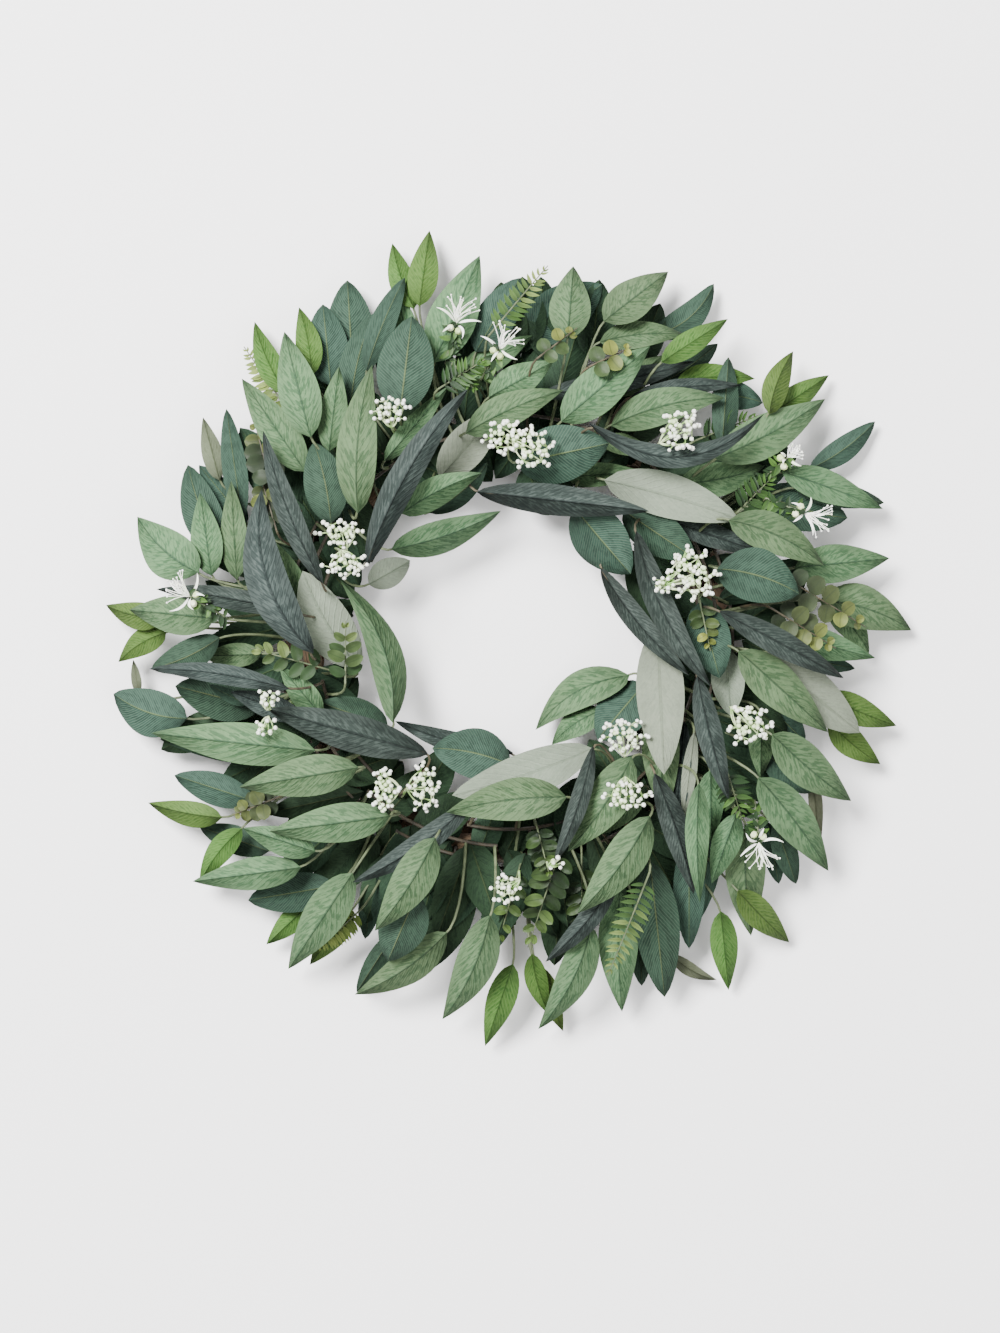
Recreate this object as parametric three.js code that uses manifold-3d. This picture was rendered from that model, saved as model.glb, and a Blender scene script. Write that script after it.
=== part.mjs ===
// A greenery wreath lying on its back: sprays of leaves, fronds, berries and blooms on a vine ring.
// Millimetres, +Z up. The origin is on the ground, under the middle of the wreath's hole.
import * as THREE from 'three';
import * as BufferGeometryUtils from 'three/addons/utils/BufferGeometryUtils.js';
import Module from 'manifold-3d';

const wasm = await Module();
wasm.setup();

const TURN = Math.PI * 2;
const TINY = 1e-6;
const UPRIGHT = new THREE.Vector3(0, 1, 0);

// The vine ring: twisted strands about one circle, cut flat where they dip to the ground
const RING = { radius: 155, height: 13, strand: 7.2, offset: 6.6, strands: 3, turns: 4, dip: 1.1, dips: 3 };
const RING_STEPS = 24;
const RING_SIDES = 5;

// The foliage follows a mound whose crest runs over the ring
const MOUND = { crest: 160, outer: 155, inner: 105, ground: 8, first: 16, step: 11.5 };
const REST_GAP = 3;
const LIFT_STEP = 0.8;
const LIFT_TRIES = 60;

// Where a leaf's height is compared with its neighbours', along it and across it
const SAMPLES_ALONG = 14;
const SAMPLES_ACROSS = [-1, -0.5, 0, 0.5, 1];
const EDGE_ROOM = 1;

// Blades: the shares of the length at which an outline has its corners, for long and short leaves
const BLADE = { thickness: 1.6, fold: 0.03, root: 0.05, long: [0.22, 0.5, 0.8], short: [0.26, 0.56, 0.84] };
const LONG_LEAF = 82;
const STUB = 0.04;

// Stalks, three sided, and the branches that carry them along the ring
const STALK = 1.3;
const BRANCH = 1.6;
const BRANCH_END = 0.012;
const BRANCH_STEP = 0.3;
const CORNERS = { right: Math.PI / 6, left: (Math.PI * 5) / 6, keel: -Math.PI / 2 };

// How many corners the triangles of a three-sided sweep have at its first pole, and in each ring after it
const POLE_CORNERS = 9;
const RING_CORNERS = 18;

// Pieces with a stalk of their own rise from the ring here, then lean to where they go
const BASES = { inner: 149, outer: 161 };
const RISE = 56;

// A stalk's foot is slid along the ring until it is clear of others and passes through few leaves
const SLIDES = [0, 1, -1, 2, -2, 3, -3, 4, -4, 5, -5, 6, -6, 8, -8, 10, -10, 12, -12, 15, -15];
const SLIDE = 0.02;
const WANTED = 0.6;
const CROSSING = 50;
const PIERCE_STEPS = 12;
const PIERCE_COST = 0.1;
const BRANCH_MARGIN = 0.03;

// The room left between two pieces, and the overlap and slivers that are mended
const CLEAR = 0.3;
const OVERLAP = 0.001;
const WELD = 0.02;

// Berry heads and blooms stand at least this high on the mound
const HEAD_LEVEL = 4;
const RIM_POINTS = 12;
const RIM_SHARES = [0, 0.5, 1];

// Each kind of leaf hangs on a branch of its own, at a radius and height along the ring.
// A row is a leaf: root x, root y, tip x, tip y, width, sideways bow, and level in the pile.
const KINDS = {
  sage: {
    colour: 0x8ea58c, roughness: 0.85, branch: [155, 47], sectors: 8, start: 0, waist: 0.72, point: 0.9,
    leaves: [
      [-184, -12, -231, -14, 18, 0, 2], [-138, -58, -169, -21, 20, 0, 4],
      [-142, -83, -267, -71, 31, 0, 5], [-86, -63, -124, 42, 25, -12, 5],
      [-110, -95, -198, -110, 30, 0, 6], [-154, -170, -238, -183, 25, 0, 4],
      [-143, -158, -197, -141, 22, 0, 4], [-115, -173, -166, -249, 31, 0, 5],
      [-87, -131, -177, -143, 29, 0, 5], [-54, -146, -99, -216, 30, 3, 6],
      [-46, -218, -116, -268, 27, 5, 4], [-14, -204, -50, -286, 30, 5, 5],
      [61, -212, 22, -294, 27, 6, 4], [42, -117, -46, -128, 31, -3, 6],
      [82, -188, 85, -281, 30, -2, 3], [103, -131, 50, -203, 31, 4, 5],
      [90, -88, 43, -157, 31, 3, 5],
      [177, -140, 182, -224, 31, -3, 3], [168, -130, 150, -182, 22, 0, 4],
      [70, -54, 32, -80, 21, -3, 2], [139, -107, 141, -196, 18, -2, 5],
      [183, -103, 240, -175, 31, 2, 5],
      [113, -50, 116, -133, 28, -2, 3], [193, -71, 256, -122, 31, -2, 5],
      [90, -28, 20, -69, 28, -9, 3], [168, -10, 236, -70, 32, 0, 5],
      [196, 4, 274, -15, 24, 0, 3], [240, 25, 271, -12, 22, 3, 1], [232, 28, 304, 6, 34, 5, 2],
      [212, 52, 286, 60, 29, 0, 3], [161, 86, 233, 53, 30, 5, 5], [202, 123, 281, 97, 25, 1, 4],
      [152, 132, 238, 180, 32, -3, 4], [126, 114, 190, 128, 26, -3, 3], [75, 156, 160, 178, 28, 5, 4],
      [42, 119, 98, 123, 18, 0, 3],
      [67, 219, 131, 226, 22, 3, 4], [70, 234, 120, 276, 31, 0, 5], [38, 158, 104, 215, 33, 0, 5],
      [43, 220, 48, 278, 31, 0, 5], [-15, 177, 33, 204, 25, 0, 4],
      [-32, 150, 40, 182, 26, 3, 4], [-56, 204, -22, 287, 36, 0, 3], [-70, 188, -84, 264, 24, 0, 2],
      [-92, 130, -45, 185, 16, 0, 4], [-79, 91, -20, 121, 22, 3, 5], [-133, 137, -126, 201, 22, 0, 4],
      [-146, 147, -168, 229, 31, 0, 5],
      [-111, 91, -101, 201, 30, 5, 5], [-150, 122, -200, 194, 28, 0, 4], [-87, 65, -6, 94, 24, -3, 5],
      [-202, 43, -207, 117, 21, 0, 3], [-230, 48, -279, 91, 36, 5, 4], [-221, 46, -230, 108, 24, 0, 3],
      [-154, 20, -178, 75, 24, 0, 3], [-216, 14, -284, 21, 30, 0, 5],
    ],
  },
  dark: {
    colour: 0x4d6660, roughness: 0.8, branch: [167, 36], sectors: 8, start: 0.2, waist: 0.85, point: 0.7,
    leaves: [
      [-240, -60, -298, -42, 36, 5, 3],
      [-185, -52, -250, -36, 34, 0, 2], [-195, -92, -263, -76, 18, -4, 1],
      [-190, -122, -251, -103, 25, 0, 2], [-90, -66, -140, -48, 26, 0, 3],
      [-180, -160, -233, -142, 22, 0, 1], [-130, -185, -196, -197, 30, 0, 2],
      [-68, -188, -90, -240, 36, 0, 5], [2, -95, -57, -82, 37, -3, 4],
      [104, -165, 117, -270, 34, 0, 3], [134, -150, 135, -233, 24, 0, 2],
      [199, -138, 216, -185, 19, 0, 2], [190, -85, 226, -116, 24, 0, 2], [101, -34, 66, -76, 38, 0, 2],
      [205, -12, 260, -23, 16, 0, 1], [140, 26, 155, -30, 32, 0, 4],
      [152, 50, 213, 32, 40, 4, 5], [212, 112, 283, 102, 20, 0, 3], [226, 127, 277, 164, 19, -3, 1],
      [188, 108, 254, 90, 34, -3, 2],
      [84, 94, 137, 58, 32, 0, 4], [104, 184, 157, 221, 20, -2, 2],
      [48, 96, 90, 47, 38, 0, 5], [105, 226, 155, 268, 22, -8, 1], [10, 224, 70, 266, 40, 0, 1],
      [5, 128, 73, 142, 42, 0, 5], [-25, 213, 8, 270, 30, 0, 2], [-80, 164, -72, 238, 42, 0, 5],
      [-106, 198, -78, 270, 20, 2, 3], [-117, 198, -122, 270, 36, 0, 1],
      [-60, 93, -16, 130, 18, -4, 3], [-133, 188, -140, 251, 32, 0, 2],
      [-131, 84, -144, 144, 32, -2, 4], [-199, 88, -212, 172, 19, 0, 2],
      [-196, 85, -233, 130, 20, 0, 1], [-214, 62, -241, 130, 30, 3, 2], [-214, 0, -267, -23, 24, 3, 4],
    ],
  },
  willow: {
    colour: 0x7d8c8c, roughness: 0.8, branch: [143, 38], sectors: 6, start: 0.1, waist: 0.85, point: 0.8,
    leaves: [
      [-143, -12, -181, 108, 31, 16, 6], [-160, -38, -267, -23, 15, -4, 6],
      [-150, -60, -205, -40, 18, 0, 4], [-60, -86, -178, -52, 28, 0, 5],
      [-25, -118, -115, -180, 18, 5, 5], [3, -86, -85, -62, 16, 4, 3], [80, -178, 27, -240, 16, 3, 4],
      [62, -80, 32, -166, 14, 3, 6], [107, -100, 137, -190, 20, 2, 4],
      [138, -28, 161, -119, 19, -2, 5], [153, 19, 247, -30, 20, 0, 6], [116, 87, 188, 63, 18, 0, 3],
      [68, 52, 132, -28, 17, -4, 5], [93, 78, 147, -36, 20, -7, 6],
      [58, 156, 188, 165, 17, -29, 6], [20, 179, 138, 206, 19, -3, 3], [-24, 107, 102, 92, 22, 1, 6],
      [-105, 52, -30, 181, 22, 8, 6], [-136, 39, -181, 152, 18, 4, 6], [-152, 16, -262, 36, 16, -3, 5],
    ],
  },
  pale: {
    colour: 0xaebcaa, roughness: 0.9, branch: [137, 27], sectors: 5, start: 0.4, waist: 0.85, point: 0.7,
    leaves: [
      [-112, -22, -152, 49, 36, 4, 4], [62, -82, -42, -116, 32, 3, 5],
      [185, -12, 262, -71, 36, 0, 4], [160, -8, 164, -58, 25, 0, 3], [110, 8, 114, -101, 35, 0, 4],
      [70, 116, 169, 87, 33, 2, 4], [-52, 118, -8, 168, 30, 0, 3], [-105, 40, -74, 58, 22, 0, 2],
    ],
  },
  bright: {
    colour: 0x7f9a63, roughness: 0.8, branch: [173, 23], sectors: 7, start: 0.25, waist: 0.72, point: 0.9,
    leaves: [
      [-214, -134, -272, -124, 20, 2, 3], [-199, -142, -233, -185, 19, -3, 3],
      [-150, -200, -183, -231, 18, 0, 1], [-117, -203, -150, -246, 20, 0, 2],
      [3, -243, -18, -308, 22, 0, 3], [17, -236, 30, -283, 17, -2, 2], [20, -245, 41, -297, 18, 0, 1],
      [158, -204, 166, -266, 21, 0, 3], [170, -188, 212, -230, 22, -1, 4],
      [239, -62, 280, -95, 22, -2, 2], [234, -43, 292, -66, 23, -1, 3], [196, 167, 242, 199, 19, 0, 3],
      [193, 166, 214, 216, 20, 3, 4], [124, 190, 184, 194, 21, 3, 2], [112, 203, 164, 239, 19, 0, 5],
      [-67, 247, -60, 308, 23, 0, 3], [-71, 246, -88, 298, 20, 2, 2],
      [-147, 195, -158, 249, 20, -2, 3], [-166, 182, -192, 239, 20, 3, 2],
      [-256, 15, -304, 25, 21, 3, 4], [-256, 4, -294, -18, 20, -3, 3],
      [122, -238, 157, -258, 11, -3, 1],
      [228, -100, 234, -163, 11, 0, 1], [-217, 118, -230, 166, 16, 0, 1],
    ],
  },
};

// Fronds: small leaves in pairs along a stem. Rows are as for leaves, and width is over both sides.
const FROND = { thickness: 1.2, rib: 0.9, first: 0.12, last: 0.9, end: 0.97, foot: 0.03, sink: 0.8 };
const FROND_SHAPE = { waist: 0.85, point: 0.6, fold: 0.05 };
const FERN = { slim: 0.42, lean: 0.08, swell: [0.4] };
const SPRIG = { slim: 0.5, lean: 0.1, swell: [0.5] };
const ROUND = { slim: 0.6, lean: 0.1, swell: [0.5] };
const TUFT = { slim: 0.34, lean: 0.14, swell: [0.45], pairs: 4, colour: 0x5f8052 };
const FRONDS = {
  fern_top: { ...FERN, colour: 0xa9b77e, pairs: 6, rows: [[-15, 222, 29, 278, 24, 0, 5]] },
  fern_left: { ...FERN, colour: 0xa9b77e, pairs: 5, rows: [[-164, 168, -200, 220, 18, 0, 1]] },
  fern_foot: { ...FERN, colour: 0x9aa98a, pairs: 6, rows: [[103, -172, 73, -251, 26, 0, 5]] },
  olive_left: { ...ROUND, colour: 0x7c8a5e, pairs: 4, rows: [[-176, 112, -190, 162, 30, 0, 3]] },
  olive_right: {
    ...ROUND, colour: 0x7c8a5e, pairs: 4,
    rows: [[200, 46, 266, 8, 30, 0, 4], [192, 22, 242, -8, 28, 0, 4]],
  },
  box_left: {
    ...SPRIG, colour: 0x8d9c72, pairs: 3,
    rows: [[-132, -24, -190, -8, 26, 0, 4], [-120, -34, -120, 12, 26, 0, 6]],
  },
  box_foot: {
    ...SPRIG, colour: 0x4f6249, pairs: 4,
    rows: [[40, -150, 14, -230, 32, 0, 3], [54, -160, 54, -238, 30, 0, 2]],
  },
  box_top: { ...ROUND, colour: 0x8d9c72, pairs: 3, rows: [[58, 198, 90, 214, 26, 0, 5]] },
  box_inner: { ...SPRIG, colour: 0x6c7f56, pairs: 3, rows: [[140, 28, 148, -10, 22, 0, 4]] },
  tuft_low: { ...TUFT, rows: [[160, -98, 172, -134, 28, 0, 4]] },
  tuft_high: { ...TUFT, rows: [[168, 92, 196, 120, 28, 0, 4]] },
};

// Berry heads: x, y, half width, half depth and number of berries of each head in a bunch
const BERRY = {
  radius: 2.2, stalk: 0.7, sunk: 0.6, pitch: 2.4, below: 1, rise: 3.7, twist: 2.4, spread: 0.6, crown: 7,
  colour: 0xf1f2ea, roughness: 0.6,
};
const BERRIES = {
  berries_upper_left: [[-87, 166, 16, 11, 5]],
  berries_left: [[-123, 77, 18, 11, 5], [-119, 52, 18, 10, 5]],
  berries_top: [[-4, 147, 16, 14, 5], [18, 137, 16, 18, 5]],
  berries_upper_right: [[124, 151, 15, 17, 5]],
  berries_right: [[134, 46, 20, 22, 6]],
  berries_lower_right: [[177, -64, 17, 16, 5]],
  berries_inner_right: [[84, -72, 18, 14, 5], [86, -116, 18, 12, 5]],
  berries_foot: [[-3, -185, 11, 12, 5]],
  berries_lower_left: [[-92, -112, 11, 20, 5], [-62, -110, 12, 20, 5]],
  berries_far_left: [[-177, -54, 9, 16, 5]],
};

// Spidery blooms: x, y, reach of the petals and their number
const PETAL = {
  width: 3.4, bow: 2, rise: 7, arch: 0.6, half: 0.6, start: 1.4, shorter: 0.8, heart: 2.6, lift: 2,
  shape: { waist: 0.8, point: 0.6, fold: 0 },
  colour: 0xf3f4ee, roughness: 0.7,
};
const BLOOMS = {
  bloom_top: [[-39, 233, 19, 6], [-7, 212, 17, 5]],
  bloom_left: [[-234, 30, 17, 5]],
  bloom_right: [[217, 91, 18, 6], [206, 133, 11, 4]],
  bloom_lower_right: [[184, -151, 18, 6]],
};

// Solids

const solidOf = (geometry) => {
  const bare = geometry.clone();
  bare.deleteAttribute('normal');
  bare.deleteAttribute('uv');
  const merged = BufferGeometryUtils.mergeVertices(bare, 1e-4);
  const mesh = new wasm.Mesh({
    numProp: 3,
    vertProperties: new Float32Array(merged.attributes.position.array),
    triVerts: new Uint32Array(merged.index.array),
  });
  return new wasm.Manifold(mesh);
};

const joined = (solids) => wasm.Manifold.union(solids);

const shaped = (geometry, move) => {
  const position = geometry.attributes.position;
  const point = new THREE.Vector3();
  for (let i = 0; i < position.count; i += 1) {
    move(point.fromBufferAttribute(position, i));
    position.setXYZ(i, point.x, point.y, point.z);
  }
  return geometry;
};

// A direction turned as little as possible to be square to a run
const squareTo = (direction, run) => direction.clone().addScaledVector(run, -direction.dot(run)).normalize();

// A stalk between two points, three sided
const stalkSolid = (from, to, radius) => {
  const line = new THREE.Vector3().subVectors(to, from);
  const geometry = new THREE.CylinderGeometry(radius, radius, line.length(), 3, 1);
  const turn = new THREE.Quaternion().setFromUnitVectors(UPRIGHT, line.clone().normalize());
  geometry.applyQuaternion(turn);
  geometry.translate((from.x + to.x) / 2, (from.y + to.y) / 2, (from.z + to.z) / 2);
  return solidOf(geometry);
};

// A bent stalk through several points, three sided, mitred at its bends
const bentSolid = (points, radius) => {
  const last = points.length - 1;
  const geometry = new THREE.CylinderGeometry(1, 1, 1, 3, last);
  const first = new THREE.Vector3().subVectors(points[1], points[0]);
  const whole = new THREE.Vector3().subVectors(points[last], points[0]);
  const side = new THREE.Vector3().crossVectors(first, whole);
  if (side.length() < TINY) side.set(points[0].y, -points[0].x, 0);
  side.normalize();
  shaped(geometry, (point) => {
    const at = Math.round((point.y + 0.5) * last);
    const before = Math.max(at, 1);
    const after = Math.min(at, last - 1);
    const into = new THREE.Vector3().subVectors(points[before], points[before - 1]).normalize();
    const onward = new THREE.Vector3().subVectors(points[after + 1], points[after]).normalize();
    const run = into.add(onward).normalize();
    const out = squareTo(side, run);
    const up = new THREE.Vector3().crossVectors(out, run);
    const move = out.multiplyScalar(point.x * radius).addScaledVector(up, point.z * radius);
    point.copy(points[at]).add(move);
  });
  return solidOf(geometry);
};

// A branch along the ring, three sided, between two angles
const branchSolid = (radius, height, first, last, thick) => {
  const steps = Math.max(1, Math.ceil((last - first) / BRANCH_STEP));
  const geometry = new THREE.CylinderGeometry(thick, thick, 1, 3, steps);
  shaped(geometry, (point) => {
    const angle = first + (last - first) * (point.y + 0.5);
    const out = radius + point.x;
    point.set(out * Math.cos(angle), out * Math.sin(angle), height + point.z);
  });
  return solidOf(geometry);
};

// A berry on its stalk, four sided, as one drop
const berrySolid = (from, to, grow) => {
  const line = new THREE.Vector3().subVectors(to, from);
  const length = line.length() + BERRY.radius;
  const profile = [
    [0, -BERRY.sunk], [BERRY.stalk + grow, length - 2 * BERRY.radius],
    [BERRY.radius + grow, length - BERRY.radius], [0, length + grow],
  ];
  const geometry = new THREE.LatheGeometry(profile.map(([x, y]) => new THREE.Vector2(x, y)), 4);
  const turn = new THREE.Quaternion().setFromUnitVectors(UPRIGHT, line.clone().normalize());
  geometry.applyQuaternion(turn);
  geometry.translate(from.x, from.y, from.z);
  return solidOf(geometry);
};

// The mound, and leaves laid on it

const domeAt = (radius) => {
  const off = radius - MOUND.crest;
  const reach = off > 0 ? MOUND.outer : MOUND.inner;
  return Math.max(0, 1 - (off / reach) ** 2);
};

const moundAt = (x, y, level) => {
  const height = MOUND.first + MOUND.step * level;
  return MOUND.ground + height * domeAt(Math.hypot(x, y));
};

const makeLeaf = (row, kind) => {
  const [rootX, rootY, tipX, tipY, width, bow, level] = row;
  const length = Math.hypot(tipX - rootX, tipY - rootY);
  const along = new THREE.Vector2(tipX - rootX, tipY - rootY).divideScalar(length);
  return {
    root: new THREE.Vector2(rootX, rootY), along, length, width, bow, level, kind, lift: 0,
    angle: Math.atan2(rootY, rootX),
  };
};

const halfWidth = (leaf, t) => {
  const swell = Math.sin(Math.PI * Math.min(1, Math.max(0, t)) ** leaf.kind.waist);
  return (leaf.width / 2) * Math.max(0, swell) ** leaf.kind.point;
};

// Where a place along and across the leaf, -1 to 1, lies in plan
const planOf = (leaf, t, across) => {
  const side = leaf.bow * 4 * t * (1 - t) + across * halfWidth(leaf, t);
  return new THREE.Vector2(
    leaf.root.x + leaf.along.x * leaf.length * t - leaf.along.y * side,
    leaf.root.y + leaf.along.y * leaf.length * t + leaf.along.x * side,
  );
};

const heightOf = (leaf, x, y, t, across) => {
  const folded = leaf.kind.fold * Math.abs(across) * halfWidth(leaf, t);
  return moundAt(x, y, leaf.level) + leaf.lift + folded;
};

// How high a leaf is over a point of the plan, or null beside it
const heightOver = (leaf, x, y) => {
  const dx = x - leaf.root.x;
  const dy = y - leaf.root.y;
  const t = (dx * leaf.along.x + dy * leaf.along.y) / leaf.length;
  if (t < 0 || t > 1) return null;
  const half = halfWidth(leaf, t) + EDGE_ROOM;
  const side = dy * leaf.along.x - dx * leaf.along.y - leaf.bow * 4 * t * (1 - t);
  if (Math.abs(side) > half) return null;
  return heightOf(leaf, x, y, t, side / half);
};

const samplesOf = (leaf) => {
  const samples = [];
  for (let i = 0; i <= SAMPLES_ALONG; i += 1) {
    const t = i / SAMPLES_ALONG;
    for (const across of SAMPLES_ACROSS) {
      const plan = planOf(leaf, t, across);
      samples.push([plan.x, plan.y, heightOf(leaf, plan.x, plan.y, t, across)]);
    }
  }
  return samples;
};

// The heights between a leaf and one laid before it, wherever they overlap in plan
const gapsBetween = (leaf, other) => {
  const gaps = [];
  for (const [x, y, z] of samplesOf(leaf)) {
    const under = heightOver(other, x, y);
    if (under !== null) gaps.push(z - under);
  }
  for (const [x, y, z] of samplesOf(other)) {
    const over = heightOver(leaf, x, y);
    if (over !== null) gaps.push(over - z);
  }
  return gaps;
};

// Leaves are laid from the lowest level up, and each rises until it crosses none
const settle = (leaves) => {
  const laid = [];
  const order = [...leaves].sort((a, b) => a.level - b.level);
  for (const leaf of order) {
    const spans = [];
    for (const other of laid) {
      const reach = leaf.length + other.length + Math.abs(leaf.bow) + Math.abs(other.bow);
      if (leaf.root.distanceTo(other.root) > reach) continue;
      const gaps = gapsBetween(leaf, other);
      if (gaps.length > 0) spans.push([Math.min(...gaps), Math.max(...gaps)]);
    }
    const free = (lift) => spans.every(([low, high]) => low + lift >= REST_GAP || high + lift <= -REST_GAP);
    let tries = 0;
    while (tries < LIFT_TRIES && !free(tries * LIFT_STEP)) tries += 1;
    leaf.lift = tries * LIFT_STEP;
    laid.push(leaf);
  }
};

const cornerOf = (point) => {
  const turn = Math.atan2(point.z, point.x);
  if (Math.abs(turn) > 2) return 'left';
  return turn > 0 ? 'right' : 'keel';
};

// A corner of a leaf's section. The keel stays below the line between the edges, even where the mound
// bends the blade down at both sides.
const bladeCorner = (leaf, t, corner) => {
  const [left, keel, right] = [-1, 0, 1].map((side) => pointOn(leaf, t, 0, side));
  keel.z = Math.min(keel.z, (left.z + right.z) / 2) - BLADE.thickness;
  return { left, keel, right }[corner];
};

// Turns the diagonals of the upper side so that a twisted blade bulges up, away from its keel
const raiseDiagonals = (geometry, rings) => {
  const { index } = geometry;
  const { position } = geometry.attributes;
  for (let ring = 2; ring < rings - 1; ring += 1) {
    const at = POLE_CORNERS + (ring - 1) * RING_CORNERS;
    const [right, left, farRight, , farLeft] = [0, 1, 2, 3, 4].map((k) => index.getX(at + k));
    const height = (a, b) => position.getZ(a) + position.getZ(b);
    if (height(left, farRight) < height(right, farLeft)) {
      index.setX(at + 2, farLeft);
      index.setX(at + 3, right);
    }
  }
};

// A leaf on its own stalk, in one three-sided sweep from the branch to the tip: two edges and a keel.
// With room to grow it is only the stalk, for cutting other leaves clear of it.
const leafSolid = (leaf, anchor, grow = 0) => {
  const blade = leaf.length > LONG_LEAF ? BLADE.long : BLADE.short;
  const stations = grow > 0 ? [] : blade;
  const rings = stations.length + 3;
  const geometry = new THREE.SphereGeometry(1, 3, rings);
  const along = new THREE.Vector3(leaf.along.x, leaf.along.y, 0);
  const across = new THREE.Vector3(-leaf.along.y, leaf.along.x, 0);
  const base = pointOn(leaf, BLADE.root, BLADE.thickness / 2);
  const rise = new THREE.Vector3().subVectors(base, anchor).normalize();
  const end = grow > 0 ? pointOn(leaf, BLADE.root + STUB, BLADE.thickness / 2) : pointOn(leaf, 1);
  const spots = [anchor.clone().addScaledVector(rise, -STALK / 2), anchor, base];
  const runs = [rise, rise, along.add(rise).normalize()];
  const knee = squareTo(across, runs[2]);
  const outs = [knee, squareTo(knee, rise), knee];
  shaped(geometry, (point) => {
    const at = Math.round((Math.acos(THREE.MathUtils.clamp(point.y, -1, 1)) / Math.PI) * rings);
    if (at === rings) {
      point.copy(end);
      return;
    }
    if (at === 0) {
      point.copy(spots[0]);
      return;
    }
    const corner = cornerOf(point);
    if (at <= 2) {
      const over = new THREE.Vector3().crossVectors(runs[at], outs[at]);
      const radius = STALK + 2 * grow;
      point.copy(spots[at]).addScaledVector(outs[at], Math.cos(CORNERS[corner]) * radius);
      point.addScaledVector(over, Math.sin(CORNERS[corner]) * radius);
      return;
    }
    point.copy(bladeCorner(leaf, stations[at - 3], corner));
  });
  raiseDiagonals(geometry, rings);
  return solidOf(geometry);
};

// A node in the making: parts that give way are cut clear of every other node's firm parts
const nodes = [];
const stalks = [];

const newNode = (name, colour, roughness) => {
  const node = { name, colour, roughness, firm: [], grown: [], soft: [] };
  nodes.push(node);
  return node;
};

const addBent = (node, points, radius) => {
  node.firm.push(bentSolid(points, radius));
  node.grown.push(bentSolid(points, radius + 2 * CLEAR));
  for (let i = 1; i < points.length; i += 1) {
    stalks.push({ node, from: points[i - 1], to: points[i], radius });
  }
};

const addFirm = (node, make) => {
  node.firm.push(make(0));
  node.grown.push(make(CLEAR));
};

// The least distance between two straight stalks, from points along both
const lineGap = (a, b, c, d) => {
  const first = new THREE.Line3(a, b);
  const near = new THREE.Vector3();
  const at = new THREE.Vector3();
  let least = Infinity;
  for (let i = 0; i <= CROSSING; i += 1) {
    at.lerpVectors(c, d, i / CROSSING);
    first.closestPointToPoint(at, true, near);
    least = Math.min(least, near.distanceTo(at));
  }
  return least;
};

// How clear a new stalk would be of the other nodes' stalks and of the other kinds' branches
const clearance = (node, from, to, radius, ownBranch) => {
  let least = Infinity;
  for (const other of stalks) {
    if (other.node === node) continue;
    least = Math.min(least, lineGap(from, to, other.from, other.to) - radius - other.radius);
  }
  const at = new THREE.Vector3();
  for (const kind of Object.values(KINDS)) {
    if (kind.branch === ownBranch) continue;
    for (let i = 0; i <= CROSSING; i += 1) {
      at.lerpVectors(from, to, i / CROSSING);
      const off = Math.hypot(Math.hypot(at.x, at.y) - kind.branch[0], at.z - kind.branch[1]);
      least = Math.min(least, off - radius - BRANCH);
    }
  }
  return least;
};

const around = (radius, angle, z) => new THREE.Vector3(radius * Math.cos(angle), radius * Math.sin(angle), z);

// The vine ring

const strandSolid = (index, grow = 0) => {
  const geometry = new THREE.TorusGeometry(RING.radius, RING.strand + grow, RING_SIDES, RING_STEPS);
  shaped(geometry, (point) => {
    const angle = Math.atan2(point.y, point.x);
    const twist = RING.turns * angle + (TURN * index) / RING.strands;
    const out = Math.hypot(point.x, point.y) + RING.offset * Math.cos(twist);
    const up = point.z + RING.offset * Math.sin(twist) + RING.height + RING.dip * Math.cos(RING.dips * angle);
    point.set(out * Math.cos(angle), out * Math.sin(angle), up);
  });
  return solidOf(geometry);
};

const ringSolid = (grow) => {
  const strands = [];
  for (let i = 0; i < RING.strands; i += 1) strands.push(strandSolid(i, grow));
  return joined(strands).trimByPlane([0, 0, 1], 0);
};

// Sprays of large leaves

const leavesByKind = {};
for (const [name, kind] of Object.entries(KINDS)) {
  kind.fold = BLADE.fold;
  leavesByKind[name] = kind.leaves.map((row) => makeLeaf(row, kind));
}
const frondRows = {};
for (const [name, frond] of Object.entries(FRONDS)) {
  frondRows[name] = frond.rows.map((row) => makeLeaf(row, FROND_SHAPE));
}
const everyLeaf = [...Object.values(leavesByKind).flat(), ...Object.values(frondRows).flat()];
settle(everyLeaf);

// The highest foliage under a disc of the plan
const topUnder = (x, y, reachX, reachY) => {
  let top = 0;
  for (const leaf of everyLeaf) {
    for (let i = 0; i < RIM_POINTS; i += 1) {
      for (const share of RIM_SHARES) {
        const px = x + reachX * share * Math.cos((TURN * i) / RIM_POINTS);
        const py = y + reachY * share * Math.sin((TURN * i) / RIM_POINTS);
        top = Math.max(top, heightOver(leaf, px, py) ?? 0);
      }
    }
  }
  return top;
};

const pointOn = (leaf, t, sink = 0, side = 0) => {
  const plan = planOf(leaf, t, side);
  return new THREE.Vector3(plan.x, plan.y, heightOf(leaf, plan.x, plan.y, t, side) - sink);
};

// The ring comes first. What hangs on it by a stalk of its own starts between two branches.
const ring = newNode('vine_ring', 0x6b5138, 0.95);
addFirm(ring, (grow) => ringSolid(grow));

const rootPoints = (angle, outward) => {
  const radius = outward ? BASES.outer : BASES.inner;
  return [around(radius, angle, RING.height), around(radius, angle, RISE)];
};

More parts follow.
